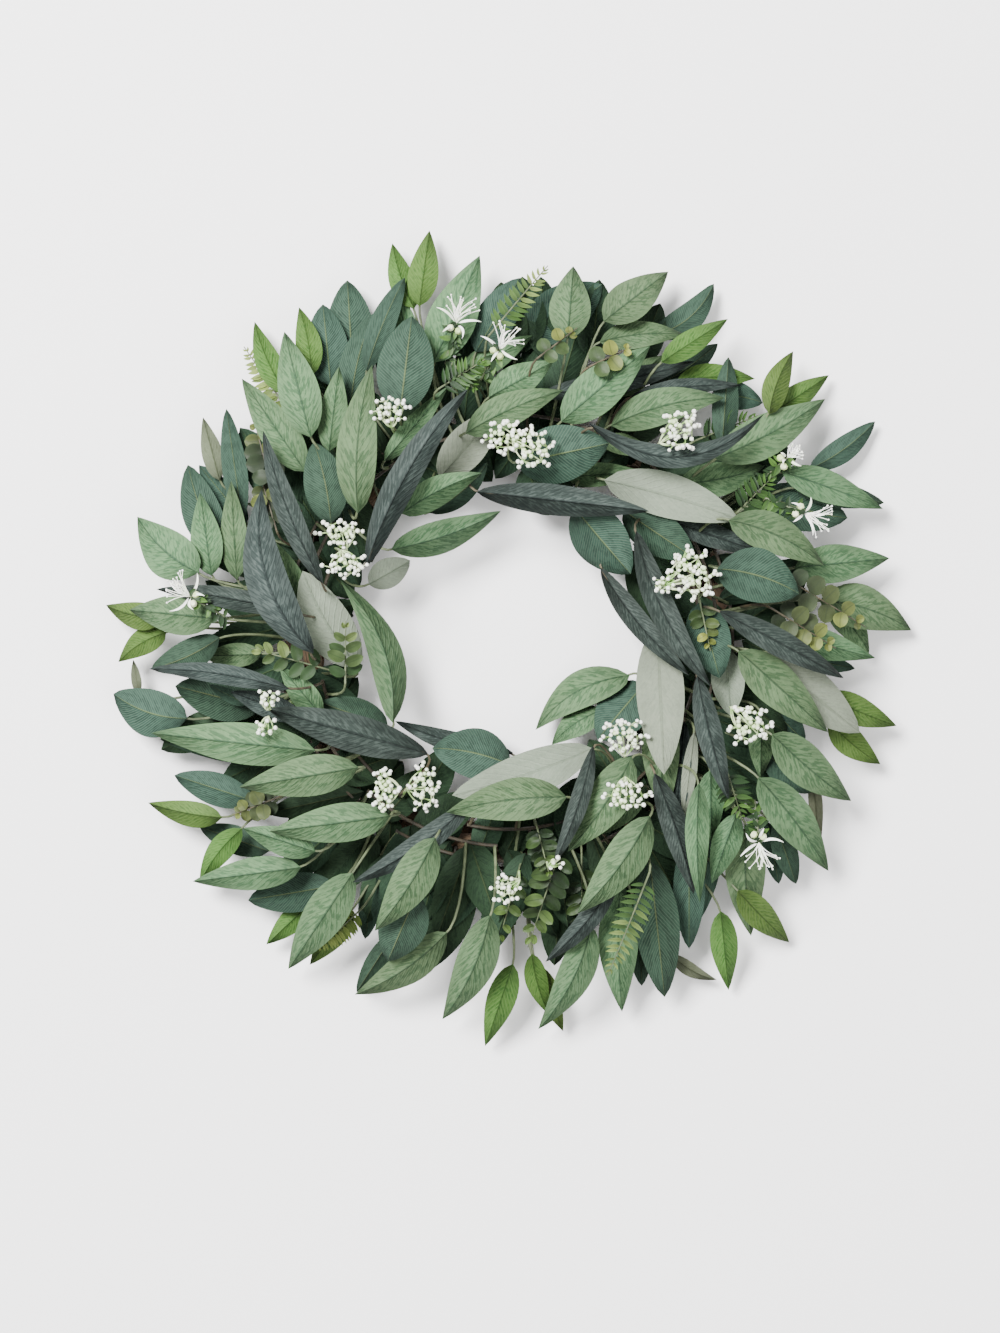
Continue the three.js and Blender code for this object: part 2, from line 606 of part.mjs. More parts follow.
// How many leaves a stalk would pass through
const pierced = (leaf, from, to) => {
  const at = new THREE.Vector3();
  let count = 0;
  for (const other of everyLeaf) {
    if (other === leaf) continue;
    let before = null;
    for (let i = 0; i <= PIERCE_STEPS; i += 1) {
      at.lerpVectors(from, to, i / PIERCE_STEPS);
      const height = heightOver(other, at.x, at.y);
      const over = height === null ? null : at.z > height;
      if (before !== null && over !== null && over !== before) count += 1;
      before = over;
    }
  }
  return count;
};

// Where on the ring a piece's own stalk starts
const rootAngle = (node, x, y, outward, ends) => {
  const own = Math.atan2(y, x);
  let best = own;
  let most = -Infinity;
  for (const slide of SLIDES) {
    const angle = own + slide * SLIDE;
    const [foot, top] = rootPoints(angle, outward);
    let room = clearance(node, foot, top, STALK, null);
    for (const end of ends) room = Math.min(room, clearance(node, top, end, STALK, null));
    if (room > most) {
      most = room;
      best = angle;
    }
    if (most >= WANTED) break;
  }
  return best;
};

// A head stands clear of the foliage under it
const headAt = (x, y, wide, deep, lift) => {
  const z = Math.max(topUnder(x, y, wide, deep), moundAt(x, y, HEAD_LEVEL)) + lift;
  return new THREE.Vector3(x, y, z);
};

// Berry heads

for (const [name, heads] of Object.entries(BERRIES)) {
  const node = newNode(name, BERRY.colour, BERRY.roughness);
  const crowns = heads.map(([x, y, wide, deep]) => headAt(x, y, wide, deep, BERRY.rise));
  const feet = crowns.map((crown, index) => {
    const berries = heads[index][4];
    return new THREE.Vector3(crown.x, crown.y, crown.z - berries * BERRY.pitch);
  });
  const middle = crowns[0];
  const outward = Math.hypot(middle.x, middle.y) > RING.radius;
  const root = rootPoints(rootAngle(node, middle.x, middle.y, outward, feet), outward);
  heads.forEach(([, , wide, deep, count], index) => {
    const crown = crowns[index];
    const foot = feet[index];
    addBent(node, index === 0 ? [...root, foot, crown] : [root[1], foot, crown], STALK);
    for (let i = 0; i < count; i += 1) {
      const share = Math.sqrt((i + BERRY.spread) / count);
      const turn = BERRY.twist * i + index;
      const place = new THREE.Vector3(
        crown.x + wide * share * Math.cos(turn),
        crown.y + deep * share * Math.sin(turn),
        crown.z + BERRY.crown * (1 - share * share),
      );
      const from = new THREE.Vector3(crown.x, crown.y, crown.z - BERRY.below - BERRY.pitch * i);
      addFirm(node, (grow) => berrySolid(from, place, grow));
    }
  });
}

// Blooms

// A petal: a thin four-sided spindle that arches out of the heart
const petalSolid = (petal, base, grow) => {
  const geometry = new THREE.SphereGeometry(1, 4, 2);
  shaped(geometry, (point) => {
    const t = (1 - point.y) / 2;
    const plan = planOf(petal, t, point.x);
    const arch = PETAL.rise * Math.sin(Math.PI * PETAL.arch * t);
    point.set(plan.x, plan.y, base + arch + point.z * (PETAL.half + grow));
  });
  return solidOf(geometry);
};

for (const [name, flowers] of Object.entries(BLOOMS)) {
  const node = newNode(name, PETAL.colour, PETAL.roughness);
  const hearts = flowers.map(([x, y, reach]) => headAt(x, y, reach, reach, PETAL.lift));
  const angle = rootAngle(node, hearts[0].x, hearts[0].y, true, hearts);
  const stem = rootPoints(angle, true);
  flowers.forEach(([x, y, reach, petals], index) => {
    const heart = hearts[index];
    addBent(node, index === 0 ? [...stem, heart] : [stem[1], heart], STALK);
    addFirm(node, (grow) => {
      const bud = new THREE.OctahedronGeometry(PETAL.heart + grow);
      return solidOf(bud.translate(heart.x, heart.y, heart.z));
    });
    for (let i = 0; i < petals; i += 1) {
      const turn = (TURN * i) / petals + index;
      const span = reach * (i % 2 ? PETAL.shorter : 1);
      const root = [x + PETAL.start * Math.cos(turn), y + PETAL.start * Math.sin(turn)];
      const tip = [x + span * Math.cos(turn), y + span * Math.sin(turn)];
      const petal = makeLeaf([...root, ...tip, PETAL.width, PETAL.bow, 0], PETAL.shape);
      addFirm(node, (grow) => petalSolid(petal, heart.z, grow));
    }
  });
}

// Fronds: one thin blade whose outline is cut to the rib between its small leaves

const leafletOutline = (stem, frond, t, side) => {
  const base = planOf(stem, t, 0);
  const far = planOf(stem, Math.min(FROND.end, t + frond.lean), side);
  const along = far.clone().sub(base);
  const across = new THREE.Vector2(-along.y, along.x).multiplyScalar(frond.slim / 2);
  const edge = (place, hand) => base.clone().addScaledVector(along, place).addScaledVector(across, hand);
  const near = frond.swell.map((place) => edge(place, side));
  const beyond = frond.swell.map((place) => edge(place, -side)).reverse();
  return [...near, far, ...beyond];
};

const frondSolid = (stem, frond, grow) => {
  const rib = (t, side) => {
    const middle = planOf(stem, t, 0);
    return new THREE.Vector2(
      middle.x - stem.along.y * side * (FROND.rib + grow),
      middle.y + stem.along.x * side * (FROND.rib + grow),
    );
  };
  const pitch = (FROND.last - FROND.first) / frond.pairs;
  const sideOf = (side) => {
    const points = [rib(0, side)];
    for (let pair = 0; pair < frond.pairs; pair += 1) {
      const t = FROND.first + pitch * pair;
      points.push(rib(t, side), ...leafletOutline(stem, frond, t + pitch / 2, side));
    }
    points.push(rib(FROND.last, side));
    return points;
  };
  const outline = [...sideOf(-1), planOf(stem, 1, 0), ...sideOf(1).reverse()];
  const depth = FROND.thickness + 2 * grow;
  const shape = new THREE.Shape(outline);
  const geometry = new THREE.ExtrudeGeometry(shape, { depth, steps: 1, bevelEnabled: false });
  shaped(geometry, (point) => {
    point.z += moundAt(point.x, point.y, stem.level) + stem.lift - FROND.thickness - grow;
  });
  return solidOf(geometry);
};

for (const [name, frond] of Object.entries(FRONDS)) {
  const node = newNode(name, frond.colour, 0.85);
  const stems = frondRows[name];
  const ends = stems.map((stem) => pointOn(stem, FROND.foot, FROND.sink));
  const outward = stems[0].root.length() > RING.radius;
  const middle = ends[0];
  const root = rootPoints(rootAngle(node, middle.x, middle.y, outward, ends), outward);
  stems.forEach((stem, index) => {
    addBent(node, index === 0 ? [...root, ends[index]] : [root[1], ends[index]], STALK);
    node.soft.push(frondSolid(stem, frond, 0));
  });
}

// Leaves, on branches that run beside the ring

for (const [name, kind] of Object.entries(KINDS)) {
  const span = TURN / kind.sectors;
  const [radius, height] = kind.branch;
  for (let sector = 0; sector < kind.sectors; sector += 1) {
    const low = kind.start + sector * span;
    const inside = (leaf) => {
      const turn = (((leaf.angle - low) % TURN) + TURN) % TURN;
      return turn < span;
    };
    const leaves = leavesByKind[name].filter(inside);
    if (leaves.length === 0) continue;
    const node = newNode(`${name}_spray_${sector + 1}`, kind.colour, kind.roughness);
    const anchors = [];
    for (const leaf of leaves) {
      const from = pointOn(leaf, BLADE.root, BLADE.thickness / 2);
      const own = (((leaf.angle - low) % TURN) + TURN) % TURN;
      let best = own;
      let most = -Infinity;
      for (const slide of SLIDES) {
        const turn = THREE.MathUtils.clamp(own + slide * SLIDE, BRANCH_MARGIN, span - BRANCH_MARGIN);
        const to = around(radius, low + turn, height);
        const room = Math.min(WANTED, clearance(node, from, to, STALK, kind.branch));
        const merit = room - PIERCE_COST * pierced(leaf, from, to);
        if (merit > most + TINY) {
          most = merit;
          best = turn;
        }
      }
      anchors.push(best);
      const anchor = around(radius, low + best, height);
      stalks.push({ node, from, to: anchor, radius: STALK });
      node.grown.push(leafSolid(leaf, anchor, CLEAR));
      node.soft.push(leafSolid(leaf, anchor));
    }
    const first = Math.min(...anchors);
    const last = Math.max(...anchors);
    const ends = [low + first - BRANCH_END, low + last + BRANCH_END];
    addFirm(node, (grow) => branchSolid(radius, height, ends[0], ends[1], BRANCH + 2 * grow));
    const seat = low + (first + last) / 2;
    const [above, heart] = [around(radius, seat, height), around(RING.radius, seat, RING.height)];
    addFirm(node, (grow) => stalkSolid(above, heart, STALK + 2 * grow));
  }
}

// Soft parts are cut clear of every other node's firm parts, and then of the nodes made before them

const grownOf = nodes.map((node) => joined(node.grown));
const boxOf = grownOf.map((solid) => solid.boundingBox());
const apart = (a, b) => [0, 1, 2].some((k) => a.min[k] > b.max[k] || b.min[k] > a.max[k]);
const largest = (solid) => solid.decompose().sort((a, b) => b.volume() - a.volume())[0];

const finished = [];
nodes.forEach((node, index) => {
  let solid = joined(node.firm);
  if (node !== ring) solid = solid.subtract(grownOf[0]);
  if (node.soft.length > 0) {
    let soft = joined(node.soft);
    const box = soft.boundingBox();
    grownOf.forEach((other, at) => {
      if (at !== index && !apart(box, boxOf[at])) soft = soft.subtract(other);
    });
    solid = solid.add(soft);
  }
  for (const other of finished) {
    if (apart(solid.boundingBox(), other.boundingBox())) continue;
    if (solid.intersect(other).volume() < OVERLAP) continue;
    solid = solid.subtract(other.translate(0, 0, CLEAR)).subtract(other.translate(0, 0, -CLEAR));
    solid = solid.subtract(other);
  }
  finished.push(largest(solid).simplify(WELD));
});

const wreath = new THREE.Group();
nodes.forEach((node, index) => {
  const data = finished[index].getMesh();
  const geometry = new THREE.BufferGeometry();
  geometry.setAttribute('position', new THREE.BufferAttribute(new Float32Array(data.vertProperties), 3));
  geometry.setIndex(new THREE.BufferAttribute(new Uint32Array(data.triVerts), 1));
  geometry.computeVertexNormals();
  const { colour, roughness } = node;
  const material = new THREE.MeshStandardMaterial({ color: colour, roughness, metalness: 0 });
  const mesh = new THREE.Mesh(geometry, material);
  mesh.name = node.name;
  wreath.add(mesh);
});

export default wreath;
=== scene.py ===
"""Dresses a greenery wreath that lies on its back: leaves, fronds, berry heads and blooms on a vine ring.

Sizes are in millimetres until a piece is laid in its place, and in metres from then on. The wreath's middle
is at the origin, its top is towards +Y and its front faces +Z.
"""
import logging
import math
import random
from dataclasses import dataclass, field
from enum import Enum
from typing import Callable, NamedTuple, Sequence, Union

import bmesh
import bpy
import numpy as np
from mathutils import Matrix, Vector


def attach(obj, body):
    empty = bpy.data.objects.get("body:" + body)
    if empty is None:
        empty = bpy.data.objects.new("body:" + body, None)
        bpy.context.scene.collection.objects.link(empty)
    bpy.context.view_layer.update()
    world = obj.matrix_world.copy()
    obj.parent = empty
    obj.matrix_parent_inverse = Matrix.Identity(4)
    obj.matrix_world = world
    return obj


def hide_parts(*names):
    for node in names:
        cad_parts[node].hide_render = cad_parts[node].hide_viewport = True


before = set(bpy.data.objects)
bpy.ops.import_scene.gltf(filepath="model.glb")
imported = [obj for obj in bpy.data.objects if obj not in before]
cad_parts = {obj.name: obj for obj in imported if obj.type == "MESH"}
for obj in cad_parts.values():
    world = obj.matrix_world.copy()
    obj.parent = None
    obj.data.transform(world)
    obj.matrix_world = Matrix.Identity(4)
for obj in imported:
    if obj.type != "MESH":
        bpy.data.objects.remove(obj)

log = logging.getLogger("wreath")

# A millimetre in metres, a full turn, and the turn from each berry of a head to the next
MM = 0.001
TURN = 2.0 * math.pi
GOLDEN = math.pi * (3.0 - math.sqrt(5.0))

# Short names for types: a colour is red, green, blue and alpha, and a value feeds an input of a node
Pair = tuple[float, float]
Four = tuple[float, float, float, float]
Tint = tuple[float, float, float, float]
Rows = tuple[tuple[float, ...], ...]
Piece = bpy.types.Object
Socket = bpy.types.NodeSocket
Value = Union[Socket, float, Tint]


class Row(NamedTuple):
    """A leaf as read off the wreath: its root, its tip, its width, its sideways bow and its level."""

    root_x: float
    root_y: float
    tip_x: float
    tip_y: float
    width: float
    bow: float
    level: float


# The leaves that show, by kind, each as the numbers of a Row in millimetres
SAGE_ROWS: Rows = (
    (-184, -12, -231, -14, 18, 0, 2), (-138, -58, -169, -21, 20, 0, 4), (-142, -83, -267, -71, 31, 0, 5),
    (-86, -63, -124, 42, 25, -12, 5), (-110, -95, -198, -110, 30, 0, 6),
    (-154, -170, -238, -183, 25, 0, 4), (-143, -158, -197, -141, 22, 0, 4),
    (-115, -173, -166, -249, 31, 0, 5), (-87, -131, -177, -143, 29, 0, 5),
    (-54, -146, -99, -216, 30, 3, 6), (-46, -218, -116, -268, 27, 5, 4), (-14, -204, -50, -286, 30, 5, 5),
    (61, -212, 22, -294, 27, 6, 4), (42, -117, -46, -128, 31, -3, 6), (82, -188, 85, -281, 30, -2, 3),
    (103, -131, 50, -203, 31, 4, 5), (90, -88, 43, -157, 31, 3, 5), (177, -140, 182, -224, 31, -3, 3),
    (168, -130, 150, -182, 22, 0, 4), (70, -54, 32, -80, 21, -3, 2), (139, -107, 141, -196, 18, -2, 5),
    (183, -103, 240, -175, 31, 2, 5), (113, -50, 116, -133, 28, -2, 3), (193, -71, 256, -122, 31, -2, 5),
    (90, -28, 20, -69, 28, -9, 3), (168, -10, 236, -70, 32, 0, 5), (196, 4, 274, -15, 24, 0, 3),
    (240, 25, 271, -12, 22, 3, 1), (232, 28, 304, 6, 34, 5, 2), (212, 52, 286, 60, 29, 0, 3),
    (161, 86, 233, 53, 30, 5, 5), (202, 123, 281, 97, 25, 1, 4), (152, 132, 238, 180, 32, -3, 4),
    (126, 114, 190, 128, 26, -3, 3), (75, 156, 160, 178, 28, 5, 4), (42, 119, 98, 123, 18, 0, 3),
    (67, 219, 131, 226, 22, 3, 4), (70, 234, 120, 276, 31, 0, 5), (38, 158, 104, 215, 33, 0, 5),
    (43, 220, 48, 278, 31, 0, 5), (-15, 177, 33, 204, 25, 0, 4), (-32, 150, 40, 182, 26, 3, 4),
    (-56, 204, -22, 287, 36, 0, 3), (-70, 188, -84, 264, 24, 0, 2), (-92, 130, -45, 185, 16, 0, 4),
    (-79, 91, -20, 121, 22, 3, 5), (-133, 137, -126, 201, 22, 0, 4), (-146, 147, -168, 229, 31, 0, 5),
    (-111, 91, -101, 201, 30, 5, 5), (-150, 122, -200, 194, 28, 0, 4), (-87, 65, -6, 94, 24, -3, 5),
    (-202, 43, -207, 117, 21, 0, 3), (-230, 48, -279, 91, 36, 5, 4), (-221, 46, -230, 108, 24, 0, 3),
    (-154, 20, -178, 75, 24, 0, 3), (-216, 14, -284, 21, 30, 0, 5),
)
DARK_ROWS: Rows = (
    (-240, -60, -298, -42, 36, 5, 3), (-185, -52, -250, -36, 34, 0, 2), (-195, -92, -263, -76, 18, -4, 1),
    (-190, -122, -251, -103, 25, 0, 2), (-90, -66, -140, -48, 26, 0, 3),
    (-180, -160, -233, -142, 22, 0, 1), (-130, -185, -196, -197, 30, 0, 2),
    (-68, -188, -90, -240, 36, 0, 5), (2, -95, -57, -82, 37, -3, 4), (104, -165, 117, -270, 34, 0, 3),
    (134, -150, 135, -233, 24, 0, 2), (199, -138, 216, -185, 19, 0, 2), (190, -85, 226, -116, 24, 0, 2),
    (101, -34, 66, -76, 38, 0, 2), (205, -12, 260, -23, 16, 0, 1), (140, 26, 155, -30, 32, 0, 4),
    (152, 50, 213, 32, 40, 4, 5), (212, 112, 283, 102, 20, 0, 3), (226, 127, 277, 164, 19, -3, 1),
    (188, 108, 254, 90, 34, -3, 2), (84, 94, 137, 58, 32, 0, 4), (104, 184, 157, 221, 20, -2, 2),
    (48, 96, 90, 47, 38, 0, 5), (105, 226, 155, 268, 22, -8, 1), (10, 224, 70, 266, 40, 0, 1),
    (5, 128, 73, 142, 42, 0, 5), (-25, 213, 8, 270, 30, 0, 2), (-80, 164, -72, 238, 42, 0, 5),
    (-106, 198, -78, 270, 20, 2, 3), (-117, 198, -122, 270, 36, 0, 1), (-60, 93, -16, 130, 18, -4, 3),
    (-133, 188, -140, 251, 32, 0, 2), (-131, 84, -144, 144, 32, -2, 4), (-199, 88, -212, 172, 19, 0, 2),
    (-196, 85, -233, 130, 20, 0, 1), (-214, 62, -241, 130, 30, 3, 2), (-214, 0, -267, -23, 24, 3, 4),
)
WILLOW_ROWS: Rows = (
    (-143, -12, -181, 108, 31, 16, 6), (-160, -38, -267, -23, 15, -4, 6),
    (-150, -60, -205, -40, 18, 0, 4), (-60, -86, -178, -52, 28, 0, 5), (-25, -118, -115, -180, 18, 5, 5),
    (3, -86, -85, -62, 16, 4, 3), (80, -178, 27, -240, 16, 3, 4), (62, -80, 32, -166, 14, 3, 6),
    (107, -100, 137, -190, 20, 2, 4), (138, -28, 161, -119, 19, -2, 5), (153, 19, 247, -30, 20, 0, 6),
    (116, 87, 188, 63, 18, 0, 3), (68, 52, 132, -28, 17, -4, 5), (93, 78, 147, -36, 20, -7, 6),
    (58, 156, 188, 165, 17, -29, 6), (20, 179, 138, 206, 19, -3, 3), (-24, 107, 102, 92, 22, 1, 6),
    (-105, 52, -30, 181, 22, 8, 6), (-136, 39, -181, 152, 18, 4, 6), (-152, 16, -262, 36, 16, -3, 5),
)
PALE_ROWS: Rows = (
    (-112, -22, -152, 49, 36, 4, 4), (62, -82, -42, -116, 32, 3, 5), (185, -12, 262, -71, 36, 0, 4),
    (160, -8, 164, -58, 25, 0, 3), (110, 8, 114, -101, 35, 0, 4), (70, 116, 169, 87, 33, 2, 4),
    (-52, 118, -8, 168, 30, 0, 3), (-105, 40, -74, 58, 22, 0, 2),
)
BRIGHT_ROWS: Rows = (
    (-214, -134, -272, -124, 20, 2, 3), (-199, -142, -233, -185, 19, -3, 3),
    (-150, -200, -183, -231, 18, 0, 1), (-117, -203, -150, -246, 20, 0, 2),
    (3, -243, -18, -308, 22, 0, 3), (17, -236, 30, -283, 17, -2, 2), (20, -245, 41, -297, 18, 0, 1),
    (158, -204, 166, -266, 21, 0, 3), (170, -188, 212, -230, 22, -1, 4), (239, -62, 280, -95, 22, -2, 2),
    (234, -43, 292, -66, 23, -1, 3), (196, 167, 242, 199, 19, 0, 3), (193, 166, 214, 216, 20, 3, 4),
    (124, 190, 184, 194, 21, 3, 2), (112, 203, 164, 239, 19, 0, 5), (-67, 247, -60, 308, 23, 0, 3),
    (-71, 246, -88, 298, 20, 2, 2), (-147, 195, -158, 249, 20, -2, 3), (-166, 182, -192, 239, 20, 3, 2),
    (-256, 15, -304, 25, 21, 3, 4), (-256, 4, -294, -18, 20, -3, 3),
)
DULL_ROWS: Rows = (
    (122, -238, 157, -258, 11, -3, 1), (228, -100, 234, -163, 11, 0, 1), (-217, 118, -230, 166, 16, 0, 1),
)

# Leaves that lie almost wholly under others, by kind
UNDER_SAGE: Rows = (
    (-118, 105, -122, 175, 18, 0, 3), (100, -110, 62, -148, 22, 0, 3), (149, -98, 150, -152, 20, 0, 3),
    (188, -58, 187, -105, 20, 0, 2), (66, 146, 110, 134, 16, 2, 3), (78, 180, 115, 211, 20, 0, 3),
    (-38, 195, 18, 226, 22, 0, 2),
)
UNDER_DARK: Rows = (
    (-122, 80, -127, 130, 20, 0, 3), (150, -120, 140, -215, 22, 3, 2), (98, -210, 100, -262, 18, 0, 1),
    (-85, -220, -115, -267, 16, 0, 1), (-194, -50, -223, -35, 10, 0, 3), (188, 122, 217, 138, 14, 0, 1),
    (188, -45, 222, -78, 24, 0, 1), (-118, 164, -101, 243, 26, 4, 2), (-100, -175, -108, -226, 18, 0, 1),
    (158, 142, 164, 210, 20, 0, 3), (194, -138, 203, -185, 17, 0, 1), (150, 180, 190, 176, 22, 3, 2),
)
UNDER_WILLOW: Rows = (
    (130, -62, 122, -150, 16, 0, 3), (90, 178, 172, 188, 13, 3, 3),
)
UNDER_PALE: Rows = (
    (137, -70, 129, -135, 11, 0, 3),
)
UNDER_DULL: Rows = (
    (-279, -42, -283, -16, 8, 0, 1),
)

# Leaves seen low in the gaps between the others, in the shade finish, whose dark green is partly their own
# colour and partly painted shade
GAP_ROWS: Rows = (
    (-30, -176, -62, -250, 34, 0, 1), (2, -178, -18, -240, 26, 0, 1), (-206, -58, -262, -84, 28, 0, 1),
    (0, 205, -6, 268, 34, 0, 1), (28, 208, 24, 272, 30, 0, 1), (12, 214, 10, 272, 34, 0, 1),
    (62, 208, 68, 270, 30, 0, 1), (92, 200, 114, 252, 28, 0, 1), (186, 112, 210, 146, 22, 0, 1),
    (84, -190, 98, -254, 28, 0, 1), (40, -182, 34, -246, 28, 0, 1), (12, 128, 30, 92, 30, 0, 1),
    (-98, -148, -142, -192, 32, 0, 1), (-86, -160, -108, -214, 28, 0, 1),
    (-168, -84, -216, -108, 26, 0, 1), (34, 172, 54, 240, 30, 0, 1), (2, 172, -26, 118, 28, 0, 1),
    (86, 146, 120, 178, 28, 0, 2), (-30, -150, -8, -214, 30, 0, 2), (12, -160, -10, -226, 26, 0, 2),
    (36, -156, 44, -216, 28, 0, 2), (92, 66, 112, 0, 24, 0, 1), (122, 34, 140, -10, 24, 0, 1),
    (-86, 132, -106, 186, 28, 0, 1), (-128, -140, -174, -184, 28, 0, 1), (-148, 70, -190, 110, 34, 0, 1),
    (-158, 92, -202, 158, 34, 0, 1), (174, -2, 236, -28, 26, 0, 1), (154, -90, 204, -122, 28, 0, 1),
    (90, -122, 60, -76, 28, 0, 1), (100, -148, 130, -198, 30, 0, 1), (-110, -144, -148, -196, 28, 0, 1),
    (-120, 150, -146, 206, 26, 0, 1), (-52, -160, -66, -216, 26, 0, 1), (-196, -24, -244, -36, 24, 0, 1),
    (-72, -130, -42, -80, 30, 0, 1),
)

# Share of a colour, as seen on a screen, that a matt surface gives back under the bright studio lamps
PAINT = 0.38

# The ring's heart, and where stalks enter the ring on its outer and its inner side
RING_RADIUS = 155.0
RING_HEIGHT = 13.0
FOOT_OUTER = 161.0
FOOT_INNER = 149.0
FOOT_HEIGHT = 18.0

# How leaves are compared in height: room at a leaf's edge, and the places compared on each
EDGE_ROOM = 1.0
SAMPLES_ALONG = 14
SAMPLES_ACROSS = (-1.0, -0.5, 0.0, 0.5, 1.0)
OVAL_TURNS = 12
OVAL_SHARES = (0.0, 0.5, 1.0)

# Share of the half width where a cupped blade crosses its flat face, and how far under it the stalk runs
CUP_MIDDLE = 0.65
STALK_DROP = 0.9

# The master blades, one unit long and wide: thickness, narrowest place, and distance at which points merge
SHEET = 0.01
NARROWEST = 0.002
MERGE = 0.004
ROW_ROOM = 1e-4
ROW_DIGITS = 5

# Angle at which smooth shading breaks, and the fineness of the round masters
CREASE = math.radians(50)
BALL_SEGMENTS = 8
BALL_RINGS = 6

# A berry's dimple, the height of the points that it moves, and how far the ball is drawn out, in radii
BALL_DIMPLE = 0.22
BALL_CAP = 0.95
BALL_STRETCH = 1.2


def tint(code: str, share: float = PAINT) -> Tint:
    """Turns a hex colour, as seen on a screen, into the linear colour a shader wants.

    Args:
        code: Six hex digits, such as "7e9a85".
        share: How much of it the surface gives back under the bright studio lamps.

    Returns:
        Red, green, blue and alpha.
    """
    shares = [int(code[i:i + 2], 16) / 255.0 for i in (0, 2, 4)]
    # A screen's curve is straight near black and a power from there on
    linear = [s / 12.92 if s <= 0.04045 else ((s + 0.055) / 1.055) ** 2.4 for s in shares]
    return (linear[0] * share, linear[1] * share, linear[2] * share, 1.0)


def around(radius: float, angle: float, z: float) -> Vector:
    """A point at a radius and an angle about the wreath's middle."""
    return Vector((radius * math.cos(angle), radius * math.sin(angle), z))


def heading(angle: float) -> Vector:
    """A level direction."""
    return Vector((math.cos(angle), math.sin(angle), 0.0))


def upward(height: float) -> Vector:
    """A move straight up."""
    return Vector((0.0, 0.0, height))


def ring_foot(outward: bool, angle: float) -> Vector:
    """Where a stalk enters the ring, on its outer or its inner side."""
    return around(FOOT_OUTER if outward else FOOT_INNER, angle, FOOT_HEIGHT)


@dataclass(frozen=True)
class Mound:
    """The rounded heap that the foliage follows, highest over the ring.

    Its crest is a circle of that radius, from which it reaches outwards and inwards. At the crest its levels
    start at `first` over the ground and are `step` apart.
    """

    crest: float = 160.0
    outer: float = 155.0
    inner: float = 105.0
    ground: float = 8.0
    first: float = 16.0
    step: float = 11.5

    def height(self, x: np.ndarray, y: np.ndarray, level: float) -> np.ndarray:
        """Height of a level of the heap over places in plan.

        Args:
            x: Places along X.
            y: Places along Y.
            level: Level in the heap, from 0 at the bottom.

        Returns:
            The heights.
        """
        off = np.hypot(x, y) - self.crest
        reach = np.where(off > 0, self.outer, self.inner)
        dome = np.maximum(0.0, 1.0 - (off / reach) ** 2)
        return self.ground + (self.first + self.step * level) * dome

    def at(self, x: float, y: float, level: float) -> float:
        """Height of a level of the heap over one place in plan."""
        return float(self.height(np.array([x]), np.array([y]), level)[0])


MOUND = Mound()


@dataclass(frozen=True)
class BladeForm:
    """How a kind of blade is cut, and how it bends when it is laid.

    The outline swells as sin(pi t^waist)^point, with t from the root to the tip.
    """

    waist: float
    point: float
    fold: float = 0.03
    thickness: float = 0.6
    cup: float = 2.0
    wave: float = 0.5
    ripples: float = 2.0
    curl: float = 1.5
    twist: float = 0.06
    columns: int = 6
    rows: int = 14

    def swell(self, t: np.ndarray) -> np.ndarray:
        """Half width at each share of the length, as a share of the greatest."""
        inner = np.sin(np.pi * np.clip(t, 0.0, 1.0) ** self.waist)
        return np.maximum(0.0, inner) ** self.point


class Form(Enum):
    """The cuts of blade on the wreath."""

    SAGE = BladeForm(waist=0.72, point=0.9, cup=2.6, wave=0.9, ripples=2.5, curl=2.4, twist=0.14, rows=16)
    DARK = BladeForm(waist=0.85, point=0.7, cup=2.4, wave=0.6, ripples=1.5, twist=0.1, rows=16)
    WILLOW = BladeForm(waist=0.85, point=0.8, cup=2.6, wave=1.4, ripples=3.5, curl=2.5, twist=0.2, rows=26)
    PALE = BladeForm(waist=0.85, point=0.7, cup=2.4, ripples=1.5, twist=0.08)
    BRIGHT = BladeForm(waist=0.72, point=0.9, twist=0.1)
    STEM = BladeForm(waist=0.85, point=0.6, fold=0.05)
    FERN = BladeForm(waist=0.7, point=0.8, thickness=0.5, cup=0.4, wave=0.1, curl=1.2, twist=0.3,
                     columns=2, rows=5)
    ROUND = BladeForm(waist=0.85, point=0.5, thickness=0.5, cup=1.6, wave=0.3, curl=3.0, twist=0.6,
                      columns=4, rows=8)
    PETAL = BladeForm(waist=0.7, point=0.7, fold=0.0, thickness=0.5, cup=0.4, wave=0.1, curl=0.0,
                      columns=2, rows=8)


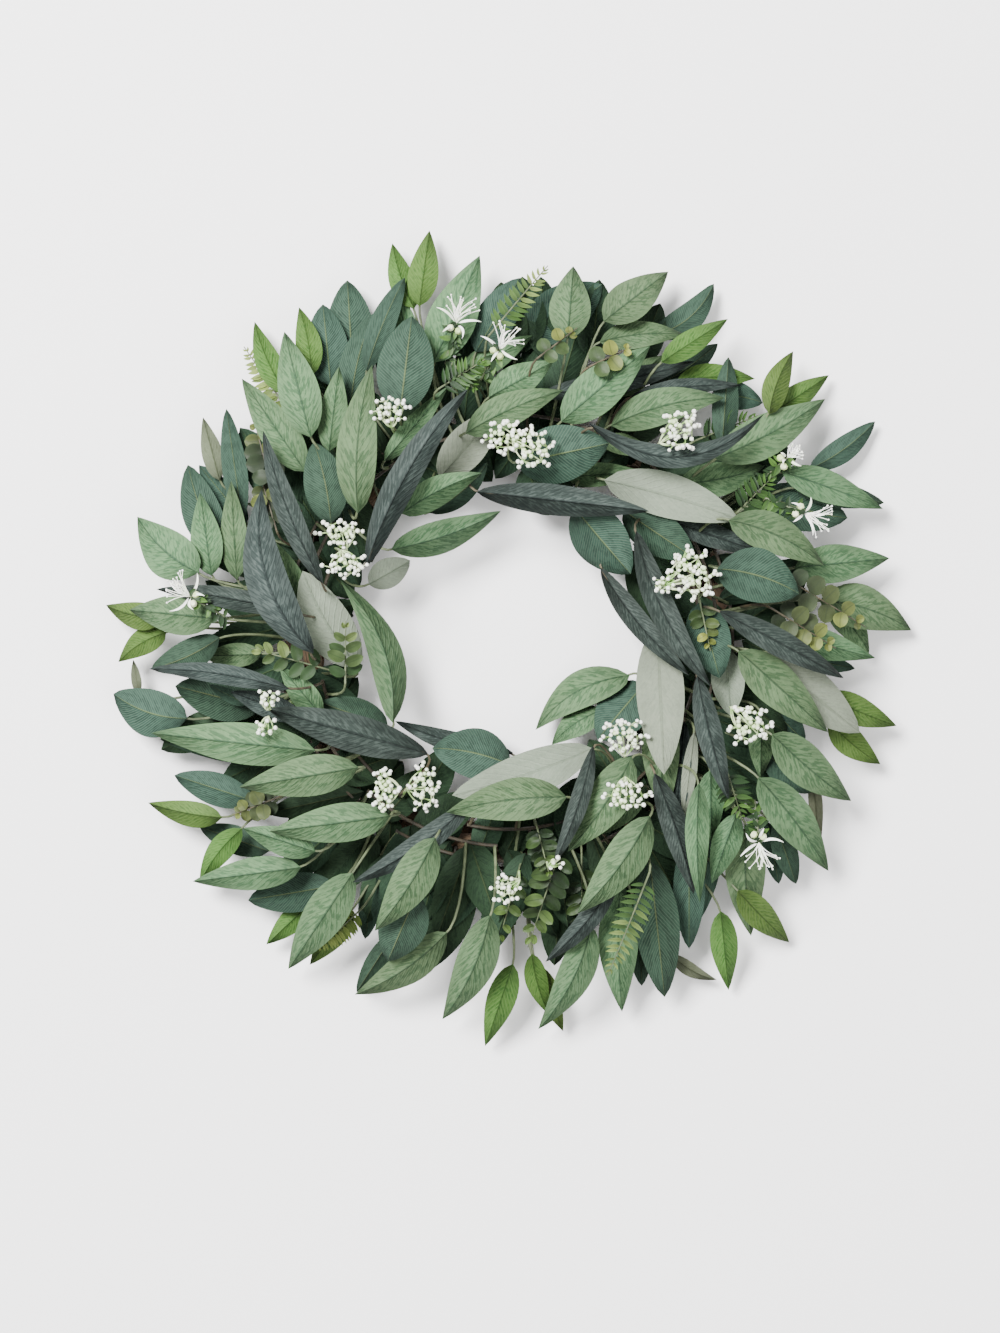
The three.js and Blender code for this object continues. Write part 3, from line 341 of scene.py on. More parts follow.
@dataclass
class Leaf:
    """One leaf in its place, with its cut, its finish and how far it is lifted off its level."""

    row: Row
    form: BladeForm
    finish: str = ""
    tone: float = 0.5
    lift: float = 0.0
    age: float = 0.0
    length: float = field(init=False)
    along: tuple[float, float] = field(init=False)

    def __post_init__(self) -> None:
        """Works out the length and the direction from the root to the tip."""
        across, up = self.row.tip_x - self.row.root_x, self.row.tip_y - self.row.root_y
        self.length = math.hypot(across, up)
        self.along = (across / self.length, up / self.length)

    @property
    def angle(self) -> float:
        """Angle of the root about the wreath's middle."""
        return math.atan2(self.row.root_y, self.row.root_x)

    @property
    def outward(self) -> bool:
        """Whether the root is outside the ring's heart."""
        return math.hypot(self.row.root_x, self.row.root_y) > RING_RADIUS

    @property
    def way(self) -> Vector:
        """Level direction from the root to the tip."""
        return Vector((self.along[0], self.along[1], 0.0))

    def bow(self, t: np.ndarray) -> np.ndarray:
        """How far the midrib swings aside at shares of the length: a parabola, highest halfway."""
        return self.row.bow * 4.0 * t * (1.0 - t)

    def half(self, t: np.ndarray) -> np.ndarray:
        """Half width at shares of the length."""
        return self.row.width / 2.0 * self.form.swell(t)

    def plan(self, t: np.ndarray, side: np.ndarray) -> tuple[np.ndarray, np.ndarray]:
        """Places in plan of points of the leaf.

        Args:
            t: Shares of the length.
            side: Distances from the midrib, left of the way to the tip.

        Returns:
            The places along X and along Y.
        """
        off = self.bow(t) + side
        run = self.length * t
        x = self.row.root_x + self.along[0] * run - self.along[1] * off
        y = self.row.root_y + self.along[1] * run + self.along[0] * off
        return x, y

    def height(self, x: np.ndarray, y: np.ndarray, side: np.ndarray) -> np.ndarray:
        """Height of the leaf's face over places in plan, with its fold."""
        return MOUND.height(x, y, self.row.level) + self.lift + self.form.fold * np.abs(side)

    def over(self, x: np.ndarray, y: np.ndarray) -> np.ndarray:
        """Height of the leaf over places in plan, or nan where it isn't.

        Args:
            x: Places along X.
            y: Places along Y.

        Returns:
            The heights.
        """
        dx, dy = x - self.row.root_x, y - self.row.root_y
        t = (dx * self.along[0] + dy * self.along[1]) / self.length
        half = self.half(t)
        side = dy * self.along[0] - dx * self.along[1] - self.bow(t)
        shown = (t >= 0.0) & (t <= 1.0) & (np.abs(side) <= half + EDGE_ROOM)
        folded = side / (half + EDGE_ROOM) * half
        return np.where(shown, self.height(x, y, folded), np.nan)

    def samples(self) -> tuple[np.ndarray, np.ndarray, np.ndarray]:
        """Points spread over the leaf, for comparing its height with others.

        Returns:
            Their places along X, along Y and in height.
        """
        t, across = np.meshgrid(np.linspace(0.0, 1.0, SAMPLES_ALONG + 1), SAMPLES_ACROSS, indexing="ij")
        side = across * self.half(t)
        x, y = self.plan(t, side)
        return x.ravel(), y.ravel(), self.height(x, y, side).ravel()

    def spot(self, t: float, sink: float = 0.0) -> Vector:
        """A point on the midrib.

        Args:
            t: Share of the length.
            sink: Distance below the leaf's face.

        Returns:
            The point, in millimetres.
        """
        x, y = self.plan(np.array([t]), np.array([0.0]))
        return Vector((x[0], y[0], self.height(x, y, np.array([0.0]))[0] - sink))

    def under(self, t: float) -> Vector:
        """A point just below the cupped midrib, where the stalk runs."""
        return self.spot(t, STALK_DROP + CUP_MIDDLE * self.form.cup * float(self.form.swell(np.array(t))))


@dataclass
class Heap:
    """Leaves laid one after another, each at a height where it crosses none laid before it."""

    gap: float = 3.0
    step: float = 0.8
    tries: int = 60
    laid: list[Leaf] = field(default_factory=list)

    def spans(self, leaf: Leaf) -> list[tuple[float, float]]:
        """Compares a leaf with each laid leaf that it crosses in plan.

        Args:
            leaf: The leaf.

        Returns:
            Its least and greatest height over each of them.
        """
        spans = []
        x, y, z = leaf.samples()
        for other in self.laid:
            apart = math.hypot(leaf.row.root_x - other.row.root_x, leaf.row.root_y - other.row.root_y)
            if apart > leaf.length + other.length + abs(leaf.row.bow) + abs(other.row.bow):
                continue
            ox, oy, oz = other.samples()
            gaps = np.concatenate([z - other.over(x, y), leaf.over(ox, oy) - oz])
            gaps = gaps[~np.isnan(gaps)]
            if gaps.size:
                spans.append((float(gaps.min()), float(gaps.max())))
        return spans

    def clear(self, spans: Sequence[tuple[float, float]], lift: float) -> bool:
        """Whether a leaf with these spans is clear of all others once it is lifted."""
        return all(low + lift >= self.gap or high + lift <= -self.gap for low, high in spans)

    def lay(self, leaves: Sequence[Leaf]) -> None:
        """Lays leaves from the lowest level up; each rises until it is clear.

        Args:
            leaves: The leaves to lay.
        """
        for leaf in sorted(leaves, key=lambda one: one.row.level):
            spans = self.spans(leaf)
            tries = 0
            while tries < self.tries and not self.clear(spans, tries * self.step):
                tries += 1
            leaf.lift = tries * self.step
            self.laid.append(leaf)

    def tuck(self, leaves: Sequence[Leaf], lowest: float = -12.0, highest: float = 12.0) -> None:
        """Slips leaves in between those already laid, at the nearest free height below or above.

        Args:
            leaves: The leaves to slip in.
            lowest: How far one may go down.
            highest: How far one may go up.
        """
        steps = sorted(np.arange(lowest, highest + self.step, self.step), key=abs)
        for leaf in sorted(leaves, key=lambda one: one.row.level):
            spans = self.spans(leaf)
            free = [lift for lift in steps if self.clear(spans, lift)]
            leaf.lift = float(free[0]) if free else lowest
            self.laid.append(leaf)

    def top(self, x: float, y: float, wide: float, deep: float, level: float) -> float:
        """Height of the highest foliage under an oval of the plan.

        Args:
            x: Middle of the oval along X.
            y: Middle of the oval along Y.
            wide: Half its width.
            deep: Half its depth.
            level: Level of the mound that the height is never under.

        Returns:
            The height.
        """
        turns = np.arange(OVAL_TURNS) * TURN / OVAL_TURNS
        shares = np.array(OVAL_SHARES)[:, None]
        px = (x + wide * shares * np.cos(turns)).ravel()
        py = (y + deep * shares * np.sin(turns)).ravel()
        heights = np.concatenate([leaf.over(px, py) for leaf in self.laid])
        return max([MOUND.at(x, y, level), *heights[~np.isnan(heights)].tolist()])


class Nodes:
    """A material in the making: short calls for the nodes that the finishes share."""

    def __init__(self, name: str) -> None:
        """Starts a material with its own surface shader.

        Args:
            name: Name of the material.
        """
        self.material = bpy.data.materials.new(name)
        self.material.use_nodes = True
        self.tree = self.material.node_tree
        self.shader = self.tree.nodes["Principled BSDF"]

    def feed(self, socket: Socket, value: Value) -> None:
        """Links a socket to an input, or sets the input to a plain value.

        Args:
            socket: The input.
            value: Another node's output, a number or a colour.
        """
        if isinstance(value, Socket):
            self.tree.links.new(value, socket)
        else:
            socket.default_value = value

    def maths(self, operation: str, *values: Value) -> Socket:
        """One sum on sockets or numbers.

        Args:
            operation: Which sum, such as PINGPONG.
            values: What goes into it, in order.

        Returns:
            The result.
        """
        node = self.tree.nodes.new("ShaderNodeMath")
        node.operation = operation
        for socket, value in zip(node.inputs, values):
            self.feed(socket, value)
        return node.outputs[0]

    def plus(self, first: Value, second: Value) -> Socket:
        """One value and another."""
        return self.maths("ADD", first, second)

    def minus(self, first: Value, second: Value) -> Socket:
        """One value less another."""
        return self.maths("SUBTRACT", first, second)

    def times(self, first: Value, second: Value) -> Socket:
        """One value times another."""
        return self.maths("MULTIPLY", first, second)

    def ease(self, value: Value, start: float, end: float, low: float = 0.0, high: float = 1.0) -> Socket:
        """A smooth step.

        Args:
            value: What it follows.
            start: Where it starts.
            end: Where it ends, which may be below the start.
            low: Result at the start and before it.
            high: Result at the end and past it.

        Returns:
            The result.
        """
        node = self.tree.nodes.new("ShaderNodeMapRange")
        node.interpolation_type = "SMOOTHSTEP"
        for socket, number in zip(node.inputs, (value, start, end, low, high)):
            self.feed(socket, number)
        return node.outputs[0]

    def mix(self, share: Value, first: Value, second: Value) -> Socket:
        """Blends two colours.

        Args:
            share: Share of the second.
            first: One colour.
            second: The other.

        Returns:
            The blend.
        """
        node = self.tree.nodes.new("ShaderNodeMix")
        node.data_type = "RGBA"
        # In a blend of colours, inputs 6 and 7 take the colours and output 2 gives the result
        for index, value in ((0, share), (6, first), (7, second)):
            self.feed(node.inputs[index], value)
        return node.outputs[2]

    def point(self, x: Value, y: Value, z: Value) -> Socket:
        """A vector out of three sockets or numbers.

        Args:
            x: Its first part.
            y: Its second part.
            z: Its third part.

        Returns:
            The vector.
        """
        node = self.tree.nodes.new("ShaderNodeCombineXYZ")
        for socket, value in zip(node.inputs, (x, y, z)):
            self.feed(socket, value)
        return node.outputs[0]

    def noise(self, vector: Socket, scale: float, detail: float = 2.0) -> Socket:
        """Smooth noise between 0 and 1.

        Args:
            vector: Where it is read.
            scale: How fine it is.
            detail: How many finer layers it has.

        Returns:
            The noise.
        """
        node = self.tree.nodes.new("ShaderNodeTexNoise")
        self.feed(node.inputs["Vector"], vector)
        node.inputs["Scale"].default_value = scale
        node.inputs["Detail"].default_value = detail
        return node.outputs[0]

    def uv(self) -> tuple[Socket, Socket]:
        """Shares across and along a blade or a strand, from its own map.

        Returns:
            The share across and the share along.
        """
        node = self.tree.nodes.new("ShaderNodeUVMap")
        node.uv_map = "UVMap"
        parts = self.tree.nodes.new("ShaderNodeSeparateXYZ")
        self.tree.links.new(node.outputs[0], parts.inputs[0])
        return parts.outputs[0], parts.outputs[1]

    def place(self) -> Socket:
        """Where a point is on the object."""
        return self.tree.nodes.new("ShaderNodeTexCoord").outputs["Object"]

    def facing_up(self) -> Socket:
        """Reads which way a face looks, from the object's own normals.

        Returns:
            The upward share of the surface's direction.
        """
        node = self.tree.nodes.new("ShaderNodeTexCoord")
        parts = self.tree.nodes.new("ShaderNodeSeparateXYZ")
        self.tree.links.new(node.outputs["Normal"], parts.inputs[0])
        return parts.outputs[2]

    def attribute(self, name: str) -> Socket:
        """Reads a number that the mesh carries at each point.

        Args:
            name: Name of the attribute.

        Returns:
            The number.
        """
        node = self.tree.nodes.new("ShaderNodeAttribute")
        node.attribute_name = name
        return node.outputs["Fac"]

    def shade(self, colour: Value, light: Value, hue: Value = 0.5) -> Socket:
        """Makes a colour lighter or darker, and turns its hue.

        Args:
            colour: The colour.
            light: What its light is multiplied by.
            hue: Its turn round the wheel of hues, with 0.5 for none.

        Returns:
            The new colour.
        """
        node = self.tree.nodes.new("ShaderNodeHueSaturation")
        for name, value in (("Hue", hue), ("Value", light), ("Color", colour)):
            self.feed(node.inputs[name], value)
        return node.outputs[0]

    def gloss(self, level: float) -> None:
        """Sets how strongly the surface mirrors the lamps."""
        self.shader.inputs["Specular IOR Level"].default_value = level

    def finish(self, colour: Value, roughness: float) -> bpy.types.Material:
        """Wires the colour of the surface and ends the material.

        Args:
            colour: Its colour.
            roughness: Its roughness all over.

        Returns:
            The finished material.
        """
        self.feed(self.shader.inputs["Base Color"], colour)
        self.shader.inputs["Roughness"].default_value = roughness
        return self.material

    def relief(self, height: Socket, depth: float, reach: float = 0.0006) -> None:
        """Gives the surface a fine relief.

        Args:
            height: The relief.
            depth: Its strength.
            reach: Its height in metres.
        """
        bump = self.tree.nodes.new("ShaderNodeBump")
        bump.inputs["Strength"].default_value = depth
        bump.inputs["Distance"].default_value = reach
        self.feed(bump.inputs["Height"], height)
        self.feed(self.shader.inputs["Normal"], bump.outputs[0])


@dataclass(frozen=True)
class LeafFinish:
    """A leaf's face: veins that run forward from the midrib, strokes between them, and a paler back.

    Widths are shares of the half width, and depths of the relief are in metres. A pair or four numbers are
    what `Nodes.ease` takes.
    """

    name: str
    base: str
    dark: str
    vein: str
    rib: str
    back: str
    pairs: float = 10.0
    slant: float = 2.4
    wobble: float = 0.7
    wobble_across: float = 3.0
    wobble_along: float = 7.0
    seeds: float = 37.0
    vein_width: float = 0.35
    vein_share: float = 0.35
    grain: float = 2.6
    grain_across: float = 4.2
    grain_detail: float = 3.0
    stroke_share: float = 0.6
    stroke_from: float = 0.5
    stroke_step: float = 0.1
    stroke_fade: Pair = (0.98, 0.6)
    rib_width: float = 0.06
    rib_core: float = 0.4
    rib_share: float = 0.7
    light: float = 0.67
    spread: float = 0.3
    mottle: float = 0.36
    mottle_scale: float = 45.0
    mottle_detail: float = 4.0
    speck: float = 0.3
    speck_scale: float = 420.0
    # Painted shade: the blade is darker towards its root
    root_painted_shade: Four = (0.0, 0.45, 0.72, 1.03)
    edge: float = 1.0
    edge_from: float = 0.1
    hue: float = 0.482
    hue_spread: float = 0.035
    turned: Pair = (-0.05, -0.2)
    vein_depth: float = 0.00022
    rib_depth: float = 0.0003
    grit: float = 0.00025
    grit_scale: float = 700.0
    tilt: float = 0.008
    roughness: float = 0.72
    gloss: float = 0.14

    def pattern(self, nodes: Nodes, side: Socket, seed: Socket) -> tuple[Socket, Socket]:
        """Draws the veins and the strokes between them.

        Args:
            nodes: The material in the making.
            side: Share of the half width from the midrib.
            seed: A number of the leaf's own.

        Returns:
            How strongly a vein and a stroke show.
        """
        u, v = nodes.uv()
        where = nodes.point(nodes.times(u, self.wobble_across), nodes.times(v, self.wobble_along), seed)
        phase = nodes.minus(nodes.times(v, self.pairs), nodes.times(side, self.slant))
        phase = nodes.plus(phase, nodes.times(nodes.noise(where, 1.0), self.wobble))
        between = nodes.times(nodes.maths("PINGPONG", phase, 0.5), 2.0)
        vein = nodes.ease(between, 0.0, self.vein_width, 1.0, 0.0)
        where = nodes.point(nodes.times(phase, self.grain), nodes.times(side, self.grain_across), seed)
        grain = nodes.noise(where, 1.0, self.grain_detail)
        stroke = nodes.ease(grain, self.stroke_from, self.stroke_from + self.stroke_step)
        return vein, nodes.times(stroke, nodes.ease(side, *self.stroke_fade))

    def lighting(self, nodes: Nodes, side: Socket, tone: Socket) -> Socket:
        """Makes the leaf darker at its root, with painted shade, and at its edge, and lighter or darker in
        patches.

        Args:
            nodes: The material in the making.
            side: Share of the half width from the midrib.
            tone: The leaf's own tone.

        Returns:
            What its colour is multiplied by.
        """
        mottle = nodes.noise(nodes.place(), self.mottle_scale, self.mottle_detail)
        speck = nodes.noise(nodes.place(), self.speck_scale)
        light = nodes.plus(nodes.times(mottle, self.mottle), self.light - self.spread / 2.0)
        light = nodes.plus(light, nodes.times(speck, self.speck))
        light = nodes.plus(light, nodes.times(tone, self.spread))
        # Painted shade towards the root of the blade
        light = nodes.times(light, nodes.ease(nodes.uv()[1], *self.root_painted_shade))
        return nodes.times(light, nodes.ease(side, self.edge_from, 1.0, 1.0, self.edge))

    def build(self) -> bpy.types.Material:
        """Makes the material.

        Returns:
            The material.
        """
        nodes = Nodes(self.name)
        side = nodes.times(nodes.maths("ABSOLUTE", nodes.minus(nodes.uv()[0], 0.5)), 2.0)
        tone = nodes.attribute("tone")
        vein, stroke = self.pattern(nodes, side, nodes.times(tone, self.seeds))
        rib = nodes.ease(side, self.rib_width * self.rib_core, self.rib_width, 1.0, 0.0)
        colour = nodes.mix(nodes.times(stroke, self.stroke_share), tint(self.base), tint(self.dark))
        colour = nodes.mix(nodes.times(vein, self.vein_share), colour, tint(self.vein))
        colour = nodes.mix(nodes.times(rib, self.rib_share), colour, tint(self.rib))
        light = self.lighting(nodes, side, tone)
        colour = nodes.shade(colour, light, nodes.plus(nodes.times(tone, self.hue_spread), self.hue))
        under = nodes.ease(nodes.facing_up(), *self.turned)
        colour = nodes.mix(under, colour, nodes.shade(tint(self.back), light))
        grit = nodes.noise(nodes.place(), self.grit_scale)
        relief = nodes.times(nodes.minus(1.0, vein), self.vein_depth)
        relief = nodes.plus(relief, nodes.times(grit, self.grit))
        relief = nodes.plus(relief, nodes.times(side, self.tilt))
        nodes.relief(nodes.minus(relief, nodes.times(rib, self.rib_depth)), 1.0, 1.0)
        nodes.gloss(self.gloss)
        return nodes.finish(colour, self.roughness)


@dataclass(frozen=True)
class SproutFinish:
    """Small leaves of a sprig or a fern, old at the root of their stem and young at its tip."""

    name: str
    old: str
    young: str
    rib: str
    ripen: Pair = (0.25, 1.05)
    tone_age: float = 0.5
    rib_line: Four = (0.06, 0.02, 0.0, 0.5)
    light: float = 0.62
    spread: float = 0.26
    mottle: float = 0.5
    mottle_scale: float = 120.0
    mottle_detail: float = 3.0
    # Painted shade: each small leaf is darker towards its root
    root_painted_shade: Four = (0.0, 0.6, 0.62, 1.03)
    rim_light: Four = (0.3, 0.5, 1.0, 1.2)
    grit_scale: float = 700.0
    grit_depth: float = 0.25
    roughness: float = 0.6
    gloss: float = 0.18

    def build(self) -> bpy.types.Material:
        """Makes the material.

        Returns:
            The material.
        """
        nodes = Nodes(self.name)
        u, v = nodes.uv()
        side = nodes.maths("ABSOLUTE", nodes.minus(u, 0.5))
        tone = nodes.attribute("tone")
        age = nodes.plus(nodes.attribute("age"), nodes.times(nodes.minus(tone, 0.5), self.tone_age))
        colour = nodes.mix(nodes.ease(age, *self.ripen), tint(self.old), tint(self.young))
        colour = nodes.mix(nodes.ease(side, *self.rib_line), colour, tint(self.rib))
        mottle = nodes.noise(nodes.place(), self.mottle_scale, self.mottle_detail)
        light = nodes.plus(nodes.times(mottle, self.mottle), self.light)
        light = nodes.plus(light, nodes.times(tone, self.spread))
        # Painted shade towards each small leaf's root
        light = nodes.times(light, nodes.ease(v, *self.root_painted_shade))
        light = nodes.times(light, nodes.ease(side, *self.rim_light))
        nodes.relief(nodes.noise(nodes.place(), self.grit_scale), self.grit_depth)
        nodes.gloss(self.gloss)
        return nodes.finish(nodes.shade(colour, light), self.roughness)


@dataclass(frozen=True)
class StalkFinish:
    """Stems and stalks: a plain colour with fine streaks."""

    name: str
    base: str
    dark: str
    share: float = PAINT
    streak_scale: float = 160.0
    streak_detail: float = 4.0
    streak: Pair = (0.35, 0.65)
    grit_scale: float = 600.0
    grit_depth: float = 0.3
    roughness: float = 0.65

    def build(self) -> bpy.types.Material:
        """Makes the material.

        Returns:
            The material.
        """
        nodes = Nodes(self.name)
        streak = nodes.ease(nodes.noise(nodes.place(), self.streak_scale, self.streak_detail), *self.streak)
        colour = nodes.mix(streak, tint(self.base, self.share), tint(self.dark, self.share))
        nodes.relief(nodes.noise(nodes.place(), self.grit_scale), self.grit_depth)
        return nodes.finish(colour, self.roughness)


@dataclass(frozen=True)
class BarkFinish:
    """Vine bark: long fibres that follow each strand, with dark cracks."""

    name: str = "vine_bark"
    base: str = "6b513a"
    worn: str = "8d7354"
    gap: str = "2f2218"
    fibres_across: float = 18.0
    fibres_along: float = 9.0
    fibre_scale: float = 2.0
    fibre_detail: float = 5.0
    patch_scale: float = 35.0
    patch_detail: float = 3.0
    patch: Pair = (0.35, 0.65)
    crack: Pair = (0.44, 0.36)
    crack_share: float = 0.75
    depth: float = 0.9
    reach: float = 0.0015
    roughness: float = 0.88

    def build(self) -> bpy.types.Material:
        """Makes the material.

        Returns:
            The material.
        """
        nodes = Nodes(self.name)
        u, v = nodes.uv()
        where = nodes.point(nodes.times(u, self.fibres_across), nodes.times(v, self.fibres_along), 0.0)
        fibre = nodes.noise(where, self.fibre_scale, self.fibre_detail)
        patch = nodes.ease(nodes.noise(nodes.place(), self.patch_scale, self.patch_detail), *self.patch)
        crack = nodes.times(nodes.ease(fibre, *self.crack), self.crack_share)
        colour = nodes.mix(patch, tint(self.base), tint(self.worn))
        nodes.relief(fibre, self.depth, self.reach)
        return nodes.finish(nodes.mix(crack, colour, tint(self.gap)), self.roughness)


@dataclass(frozen=True)
class PearlFinish:
    """White berries and petals: off-white with a faint green cast in places."""

    name: str
    base: str = "f4f4ef"
    cast: str = "dfe6d2"
    patch_scale: float = 220.0
    tone_share: float = 0.5
    patch: Pair = (0.55, 1.0)
    glow: float = 0.08
    glow_reach: tuple[float, float, float] = (0.002, 0.002, 0.0015)
    grit_scale: float = 500.0
    grit_depth: float = 0.1
    roughness: float = 0.45

    def build(self) -> bpy.types.Material:
        """Makes the material.

        Returns:
            The material.
        """
        nodes = Nodes(self.name)
        patch = nodes.noise(nodes.place(), self.patch_scale)
        patch = nodes.plus(patch, nodes.times(nodes.attribute("tone"), self.tone_share))
        colour = nodes.mix(nodes.ease(patch, *self.patch), tint(self.base, 1.0), tint(self.cast, 1.0))
        nodes.shader.inputs["Subsurface Weight"].default_value = self.glow
        nodes.shader.inputs["Subsurface Radius"].default_value = self.glow_reach
        nodes.relief(nodes.noise(nodes.place(), self.grit_scale), self.grit_depth)
        return nodes.finish(colour, self.roughness)


@dataclass(frozen=True)
class FloorFinish:
    """The plain pale floor."""

    name: str = "pale_floor"
    base: str = "fbfafa"
    gloss: float = 0.1
    roughness: float = 0.95

    def build(self) -> bpy.types.Material:
        """Makes the material.

        Returns:
            The material.
        """
        nodes = Nodes(self.name)
        nodes.gloss(self.gloss)
        return nodes.finish(tint(self.base, 1.0), self.roughness)


# Every finish by its name. Colours are as seen on a screen.
FINISHES = {
    one.name: one for one in (
        LeafFinish("sage", base="84a978", dark="4a734c", vein="5f8560", rib="426349", back="a9b8a2",
                   pairs=14.0, slant=3.4, vein_width=0.4, stroke_share=0.7, stroke_from=0.48,
                   stroke_step=0.09, grain=2.0, edge=0.93),
        LeafFinish("dark", base="496956", dark="2c4438", vein="6f8b73", rib="8a9b68", back="93a598",
                   pairs=30.0, slant=7.0, vein_width=0.6, vein_share=0.6, stroke_from=0.46,
                   rib_width=0.04, grain=0.5, edge=0.9),
        LeafFinish("willow", base="65746d", dark="34423d", vein="36413f", rib="252e2d", back="939e95",
                   pairs=24.0, slant=3.8, vein_width=0.5, vein_share=0.4, stroke_share=0.65,
                   stroke_from=0.42, stroke_step=0.12, rib_width=0.1, rib_share=0.6, grain=1.5, edge=0.66),
        LeafFinish("pale", base="b0bda5", dark="98a88f", vein="bac6b1", rib="8f9f85", back="c0cab9",
                   pairs=12.0, slant=3.0, vein_share=0.3, stroke_share=0.4, rib_width=0.08, rib_share=0.45,
                   roughness=0.8, spread=0.15, tilt=0.003, edge=0.94),
        LeafFinish("bright", base="719a49", dark="4a7632", vein="8db160", rib="44672d", back="a9bd90",
                   pairs=16.0, slant=3.6, vein_width=0.5, vein_share=0.45, stroke_share=0.75,
                   roughness=0.62, grain=1.8),
        LeafFinish("dull", base="8d9578", dark="6f7a58", vein="a0a88c", rib="69734f", back="969d80",
                   pairs=10.0, slant=3.0, vein_share=0.3, stroke_share=0.4),
        # Painted shade in part: the low leaves under the others get a darker green that stands in for the
        # shade falling on them
        LeafFinish("shade", base="3c583e", dark="24382a", vein="4b674c", rib="5a6d47", back="2b3a32",
                   pairs=12.0, slant=3.0, vein_share=0.3, stroke_share=0.5),
        SproutFinish("fern_light", old="557a38", young="a3b863", rib="4d6d38"),
        SproutFinish("fern_lit", old="86a24a", young="b7cb6c", rib="6a8a40"),
        SproutFinish("fern_grey", old="4c7038", young="a0b764", rib="466436"),
        SproutFinish("olive", old="43523a", young="8f9b4f", rib="49573c", roughness=0.55),
        SproutFinish("box_pale", old="425f38", young="96ac64", rib="43603a"),
        SproutFinish("box_deep", old="2b4123", young="6f8d48", rib="2b3c26", roughness=0.5),
        SproutFinish("box_mid", old="50683c", young="b3ba56", rib="465a38", roughness=0.5),
        SproutFinish("tuft", old="2b4a24", young="5f8a3c", rib="2f4a2c", roughness=0.5),
        StalkFinish("stem_green", base="8c9b6d", dark="6b7a52"),
        StalkFinish("stem_brown", base="7f7354", dark="57503a"),
        StalkFinish("stem_wood", base="5d5139", dark="3f3828"),
        StalkFinish("stem_pale", base="d3dfb4", dark="8db564", share=0.8),
        BarkFinish(),
        PearlFinish("berry_white", base="f1f1ea", cast="bcd39a"),
        PearlFinish("petal_white", base="f6f6f2", cast="e6ecd8", roughness=0.55),
        PearlFinish("bud_green", base="e3e8c2", cast="b9cc86", roughness=0.55),
        FloorFinish(),
    )
}


@dataclass
class Palette:
    """The materials, each made when it is first asked for."""

    made: dict[str, bpy.types.Material] = field(default_factory=dict)

    def get(self, name: str) -> bpy.types.Material:
        """The material of a finish.

        Args:
            name: Name of the finish.

        Returns:
            The material.
        """
        if name not in self.made:
            self.made[name] = FINISHES[name].build()
        return self.made[name]


PALETTE = Palette()


def pick_only(*pieces: Piece) -> None:
    """Selects some objects and nothing else, the first one active.

    Args:
        pieces: The objects, or none to select nothing.
    """
    bpy.ops.object.select_all(action="DESELECT")
    for piece in pieces:
        piece.select_set(True)
    bpy.context.view_layer.objects.active = pieces[0] if pieces else None


def pick_points(piece: Piece, wanted: Callable[[Vector], bool]) -> None:
    """Selects the points of a mesh in edit mode that a test wants.

    Args:
        piece: The object in edit mode.
        wanted: The test of a point's place.
    """
    shape = bmesh.from_edit_mesh(piece.data)
    for point in shape.verts:
        point.select_set(wanted(point.co))
    shape.select_flush_mode()
    bmesh.update_edit_mesh(piece.data)


def read_points(mesh: bpy.types.Mesh) -> np.ndarray:
    """Reads the places of a mesh's points.

    Args:
        mesh: The mesh.

    Returns:
        The places, a row each.
    """
    flat = np.empty(len(mesh.vertices) * 3)
    mesh.vertices.foreach_get("co", flat)
    return flat.reshape(-1, 3)


def write_points(mesh: bpy.types.Mesh, points: np.ndarray) -> None:
    """Moves a mesh's points."""
    mesh.vertices.foreach_set("co", points.astype(np.float32).ravel())
    mesh.update()


def note(mesh: bpy.types.Mesh, name: str, value: float) -> None:
    """Writes one number on every point of a mesh, for its material to read."""
    layer = mesh.attributes.get(name) or mesh.attributes.new(name, "FLOAT", "POINT")
    layer.data.foreach_set("value", np.full(len(mesh.vertices), value, dtype=np.float32))


def place_copy(master: Piece, name: str, points: np.ndarray, finish: str, tone: float) -> Piece:
    """Copies a master with a mesh of its own, moves its points and dresses it.

    Args:
        master: The master.
        name: Name of the new object.
        points: New places of its points, in metres.
        finish: Name of its finish.
        tone: Its own tone.

    Returns:
        The copy.
    """
    mesh = master.data.copy()
    write_points(mesh, points)
    mesh.materials.clear()
    mesh.materials.append(PALETTE.get(finish))
    note(mesh, "tone", tone)
    copy = bpy.data.objects.new(name, mesh)
    bpy.context.collection.objects.link(copy)
    return copy


def joined(pieces: Sequence[Piece], name: str) -> Piece:
    """Joins objects into one piece with a name of its own.

    Args:
        pieces: The objects.
        name: Name of the piece.

    Returns:
        The piece.
    """
    pick_only(*pieces)
    if len(pieces) > 1:
        bpy.ops.object.join()
    whole = bpy.context.view_layer.objects.active
    whole.name = name
    whole.data.name = name
    bpy.ops.object.shade_smooth_by_angle(angle=CREASE)
    return whole


def settle_piece(piece: Piece, slot: str, *nodes: str) -> None:
    """Ties a piece to the wreath, and hides the plain solids that it stands for.

    Args:
        piece: The piece.
        slot: Its finish slot; not used.
        nodes: The plain solids that it replaces, if any.
    """
    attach(piece, "root")
    if nodes:
        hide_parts(*nodes)
    log.info("%s: %d faces", piece.name, len(piece.data.polygons))


